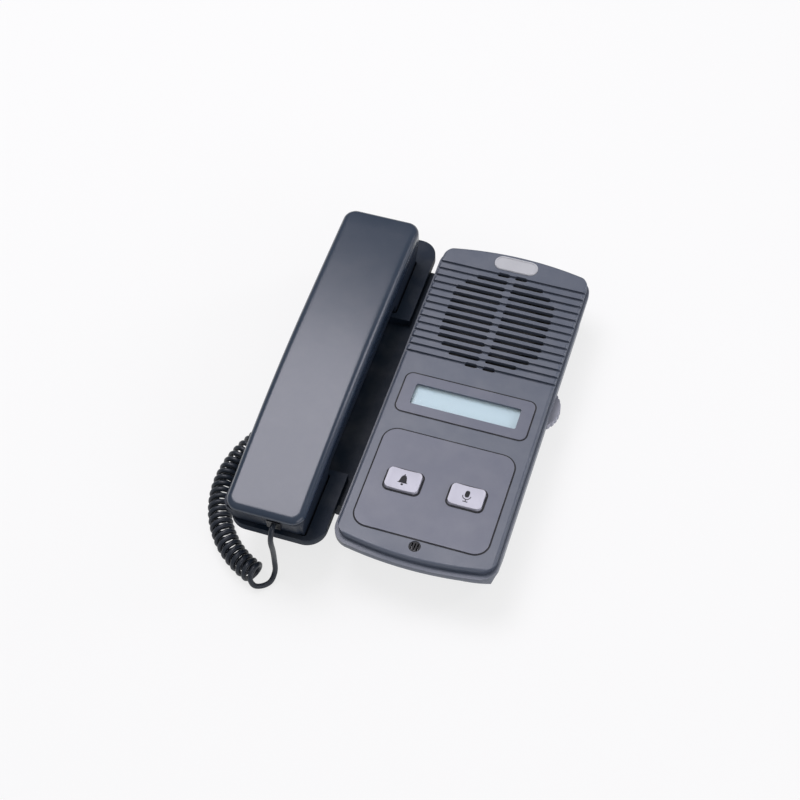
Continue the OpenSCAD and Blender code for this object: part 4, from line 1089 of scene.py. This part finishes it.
@dataclass(frozen=True)
class SignStrokes:
    """Strokes of the two signs, as flat grids of points about the middle of a key cap."""

    rows: int = 25
    columns: int = 9
    tip: float = 0.04 * MM
    bell: Pair = (-2.0 * MM, 3.0 * MM)
    bell_half: float = 1.9 * MM
    lip: float = 1.1 * MM
    lip_share: float = 0.12
    clapper: Pair = (-3.5 * MM, -2.3 * MM)
    clapper_width: float = 1.5 * MM
    knob: Pair = (2.9 * MM, 3.7 * MM)
    knob_width: float = 0.8 * MM
    capsule: Pair = (-0.7 * MM, 3.6 * MM)
    capsule_half: float = 1.25 * MM
    capsule_round: float = 0.4
    yoke_height: float = 0.3 * MM
    yoke: Pair = (2.0 * MM, 2.45 * MM)
    yoke_rows: int = 4
    yoke_columns: int = 33
    stem: Pair = (-3.1 * MM, -2.1 * MM)
    stem_half: float = 0.25 * MM
    foot: Pair = (-3.6 * MM, -3.1 * MM)
    foot_half: float = 1.4 * MM

    def column(self, ends: Pair, half: Callable[[np.ndarray], np.ndarray]) -> np.ndarray:
        """Stand a shape on the middle line: x = u * max(half(t), tip), y = low + (high - low) * t.

        Args:
            ends: its lowest and highest y.
            half: its half-width for t from 0, at the lower end, to 1.

        Returns:
            The grid.
        """
        low, high = ends
        steps = np.linspace(0.0, 1.0, self.rows), np.linspace(-1.0, 1.0, self.columns)
        t, u = np.meshgrid(*steps, indexing="ij")
        return np.stack([u * np.maximum(half(t), self.tip), low + (high - low) * t], axis=-1)

    def bar(self, ends: Pair, half: float) -> np.ndarray:
        """Return the grid of a straight bar."""
        return self.column(ends, lambda t: np.full_like(t, half))

    def disc(self, ends: Pair, width: float) -> np.ndarray:
        """Return the grid of an oval: half(t) = width * sqrt(t - t^2)."""
        return self.column(ends, lambda t: width * np.sqrt(np.clip(t - t**2, 0.0, None)))

    def half_ring(self) -> np.ndarray:
        """Draw the microphone's yoke, a lower half ring: (r cos a, height + r sin a).

        Returns:
            The grid.
        """
        radii = np.linspace(*self.yoke, self.yoke_rows)
        angles = np.linspace(math.pi, 2 * math.pi, self.yoke_columns)
        r, a = np.meshgrid(radii, angles, indexing="ij")
        grid = np.stack([r * np.cos(a), self.yoke_height + r * np.sin(a)], axis=-1)
        return grid[::-1]

    def bell_half_width(self, t: np.ndarray) -> np.ndarray:
        """Return half(t) = bell * sqrt(1 - t^3) + lip * exp(-t / lip_share)."""
        dome = self.bell_half * np.sqrt(np.clip(1 - t**3, 0.0, None))
        return dome + self.lip * np.exp(-t / self.lip_share)

    def capsule_half_width(self, t: np.ndarray) -> np.ndarray:
        """Return half(t) = capsule * (1 - |2 t - 1|^3)^round."""
        bulge = np.clip(1 - np.abs(2 * t - 1) ** 3, 0.0, None)
        return self.capsule_half * bulge ** self.capsule_round

    def grids(self, sign: Sign) -> list[np.ndarray]:
        """Draw one sign.

        Args:
            sign: which one.

        Returns:
            The grids of its strokes.
        """
        if sign is Sign.BELL:
            return [
                self.column(self.bell, self.bell_half_width),
                self.disc(self.clapper, self.clapper_width),
                self.disc(self.knob, self.knob_width),
            ]
        return [
            self.column(self.capsule, self.capsule_half_width),
            self.half_ring(),
            self.bar(self.stem, self.stem_half),
            self.bar(self.foot, self.foot_half),
        ]


@dataclass(frozen=True)
class KeySign:
    """Sign printed in the dish of one key cap, with a dark ring of painted shade round the cap.

    The dish is z(x) = top - depth + R - sqrt(R^2 - x^2), and the print lies a little above it.
    """

    node: str
    body: Body
    sign: Sign
    dish_radius: float = 60.0 * MM
    dish_depth: float = 0.5 * MM
    ink: float = 0.05 * MM
    skirt: float = 1.0 * MM
    cap_corner: float = 2.5 * MM
    # the ring round the cap is a dark band of painted shade
    ring_gap: float = 0.45 * MM
    ring_width: float = 0.9 * MM
    ring_height: float = 0.25 * MM
    ring_steps: int = 9

    def stroke(self, grid: np.ndarray) -> Surface:
        """Lay one stroke of the sign in the cap's dish.

        Args:
            grid: the stroke's points on the plan.

        Returns:
            The stroke's surface.
        """
        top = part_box(self.node)[1][2]
        dish = self.dish_radius - np.sqrt(self.dish_radius**2 - grid[..., 0] ** 2)
        height = top - self.dish_depth + dish + self.ink
        return Surface(np.dstack([np.array(middle(self.node)) + grid, height]), ring=False)

    def make_print(self) -> bpy.types.Object:
        """Make the sign, as thick as its ink.

        Returns:
            The sign.
        """
        strokes = [self.stroke(grid) for grid in SignStrokes().grids(self.sign)]
        sign = make_piece(f"{self.node}_sign", strokes)
        sign.modifiers.new("ink", "SOLIDIFY").thickness = self.ink
        return sign

    def make_shade_ring(self) -> bpy.types.Object:
        """Make the painted-shade ring: a flat dark band with a rounded top, round the cap's outline.

        The top is (gap + width * (1 + cos t) / 2, height * sqrt(sin t)).

        Returns:
            The ring.
        """
        low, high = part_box(self.node)
        width, length = (high[axis] - low[axis] - 2 * self.skirt for axis in (0, 1))
        plan = round_box(middle(self.node), width, length, self.cap_corner)
        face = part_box("key_plate")[1][2]
        t = np.linspace(0.0, math.pi, self.ring_steps)
        across = self.ring_gap + self.ring_width * (1 + np.cos(t)) / 2
        top = np.stack([-across, face + self.ring_height * np.sin(t) ** 0.5], axis=-1)
        inner, outer = -self.ring_gap, -self.ring_gap - self.ring_width
        under = face - self.ring_height
        band = np.concatenate([top, [[inner, under], [outer, under]]])
        return make_piece(f"{self.node}_ring", [Surface(plan.loft(band), loop=True)])

    def build(self, paint: Paint) -> list[bpy.types.Object]:
        """Print the sign on its cap and lay the ring of painted shade on the plate round it.

        Args:
            paint: the finishes.

        Returns:
            The sign and the ring.
        """
        pieces = [self.make_print(), self.make_shade_ring()]
        for piece, body in zip(pieces, (self.body, Body.STATION)):
            # inner_black is print on the sign and painted shade on the ring
            paint.dress(piece, "inner_black")
            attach(piece, body.value)
        return pieces


# Carried-over pieces


@dataclass(frozen=True)
class Shells:
    """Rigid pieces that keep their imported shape, with their edges softened and their finish set."""

    edges: dict[str, float] = field(default_factory=lambda: {
        "front_cover": 0.25 * MM,
        "base_shell": 0.8 * MM,
        "cradle_shell": 1.4 * MM,
        "display_frame": 0.25 * MM,
        "key_plate": 0.3 * MM,
        "call_key": 0.8 * MM,
        "talk_key": 0.8 * MM,
        "badge_plate": 0.2 * MM,
        "handset_lower_shell": 0.8 * MM,
        "bridge": 0.5 * MM,
        "volume_wheel": 0.2 * MM,
    })
    # the lower shell takes the darker copy of the navy, painted shade
    finishes: dict[str, str] = field(
        default_factory=lambda: {"handset_lower_shell": "handset_navy_shaded"}
    )
    weld: float = 0.002 * MM
    edge_segments: int = 3
    edge_angle: float = 40.0

    def soften(self, node: bpy.types.Object, width: float) -> None:
        """Join the node's loose triangles and round its edges.

        Args:
            node: the node's object.
            width: width of the rounding.
        """
        weld = node.modifiers.new("join", "WELD")
        weld.merge_threshold = self.weld
        bevel = node.modifiers.new("round", "BEVEL")
        bevel.width = width
        bevel.segments = self.edge_segments
        bevel.limit_method = "ANGLE"
        bevel.angle_limit = math.radians(self.edge_angle)
        bevel.harden_normals = True
        bevel.use_clamp_overlap = True

    def build(self, paint: Paint) -> list[bpy.types.Object]:
        """Dress every node by the record's slot, and soften the edges of those that show.

        Args:
            paint: the finishes.

        Returns:
            The nodes' objects.
        """
        nodes = []
        for row in frame["record"]["subparts"]:
            name = row["node"]
            node = frame["nodes"][name]
            paint.dress(node, row["material_slot"], self.finishes.get(name, ""))
            if name in self.edges:
                self.soften(node, self.edges[name])
            nodes.append(node)
        return nodes


def main() -> None:
    """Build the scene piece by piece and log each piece."""
    logging.basicConfig(level=logging.INFO, format="%(message)s")
    Studio().build()
    paint = Paint()
    assemblies = [
        Cord(),
        Shells(),
        HandsetBack(),
        HandsetSkirt(),
        # painted shadow bands round the key plate and the display frame
        SeamShadowBand("key_plate", corner=8.0 * MM),
        SeamShadowBand("display_frame", corner=4.0 * MM),
        KeySign("call_key", Body.CALL_KEY, Sign.BELL),
        KeySign("talk_key", Body.TALK_KEY, Sign.MICROPHONE),
    ]
    for assembly in assemblies:
        for piece in assembly.build(paint):
            finish = piece.data.materials[0].name
            log.info("%s: %d faces, %s", piece.name, len(piece.data.polygons), finish)


if __name__ == "__main__":
    main()
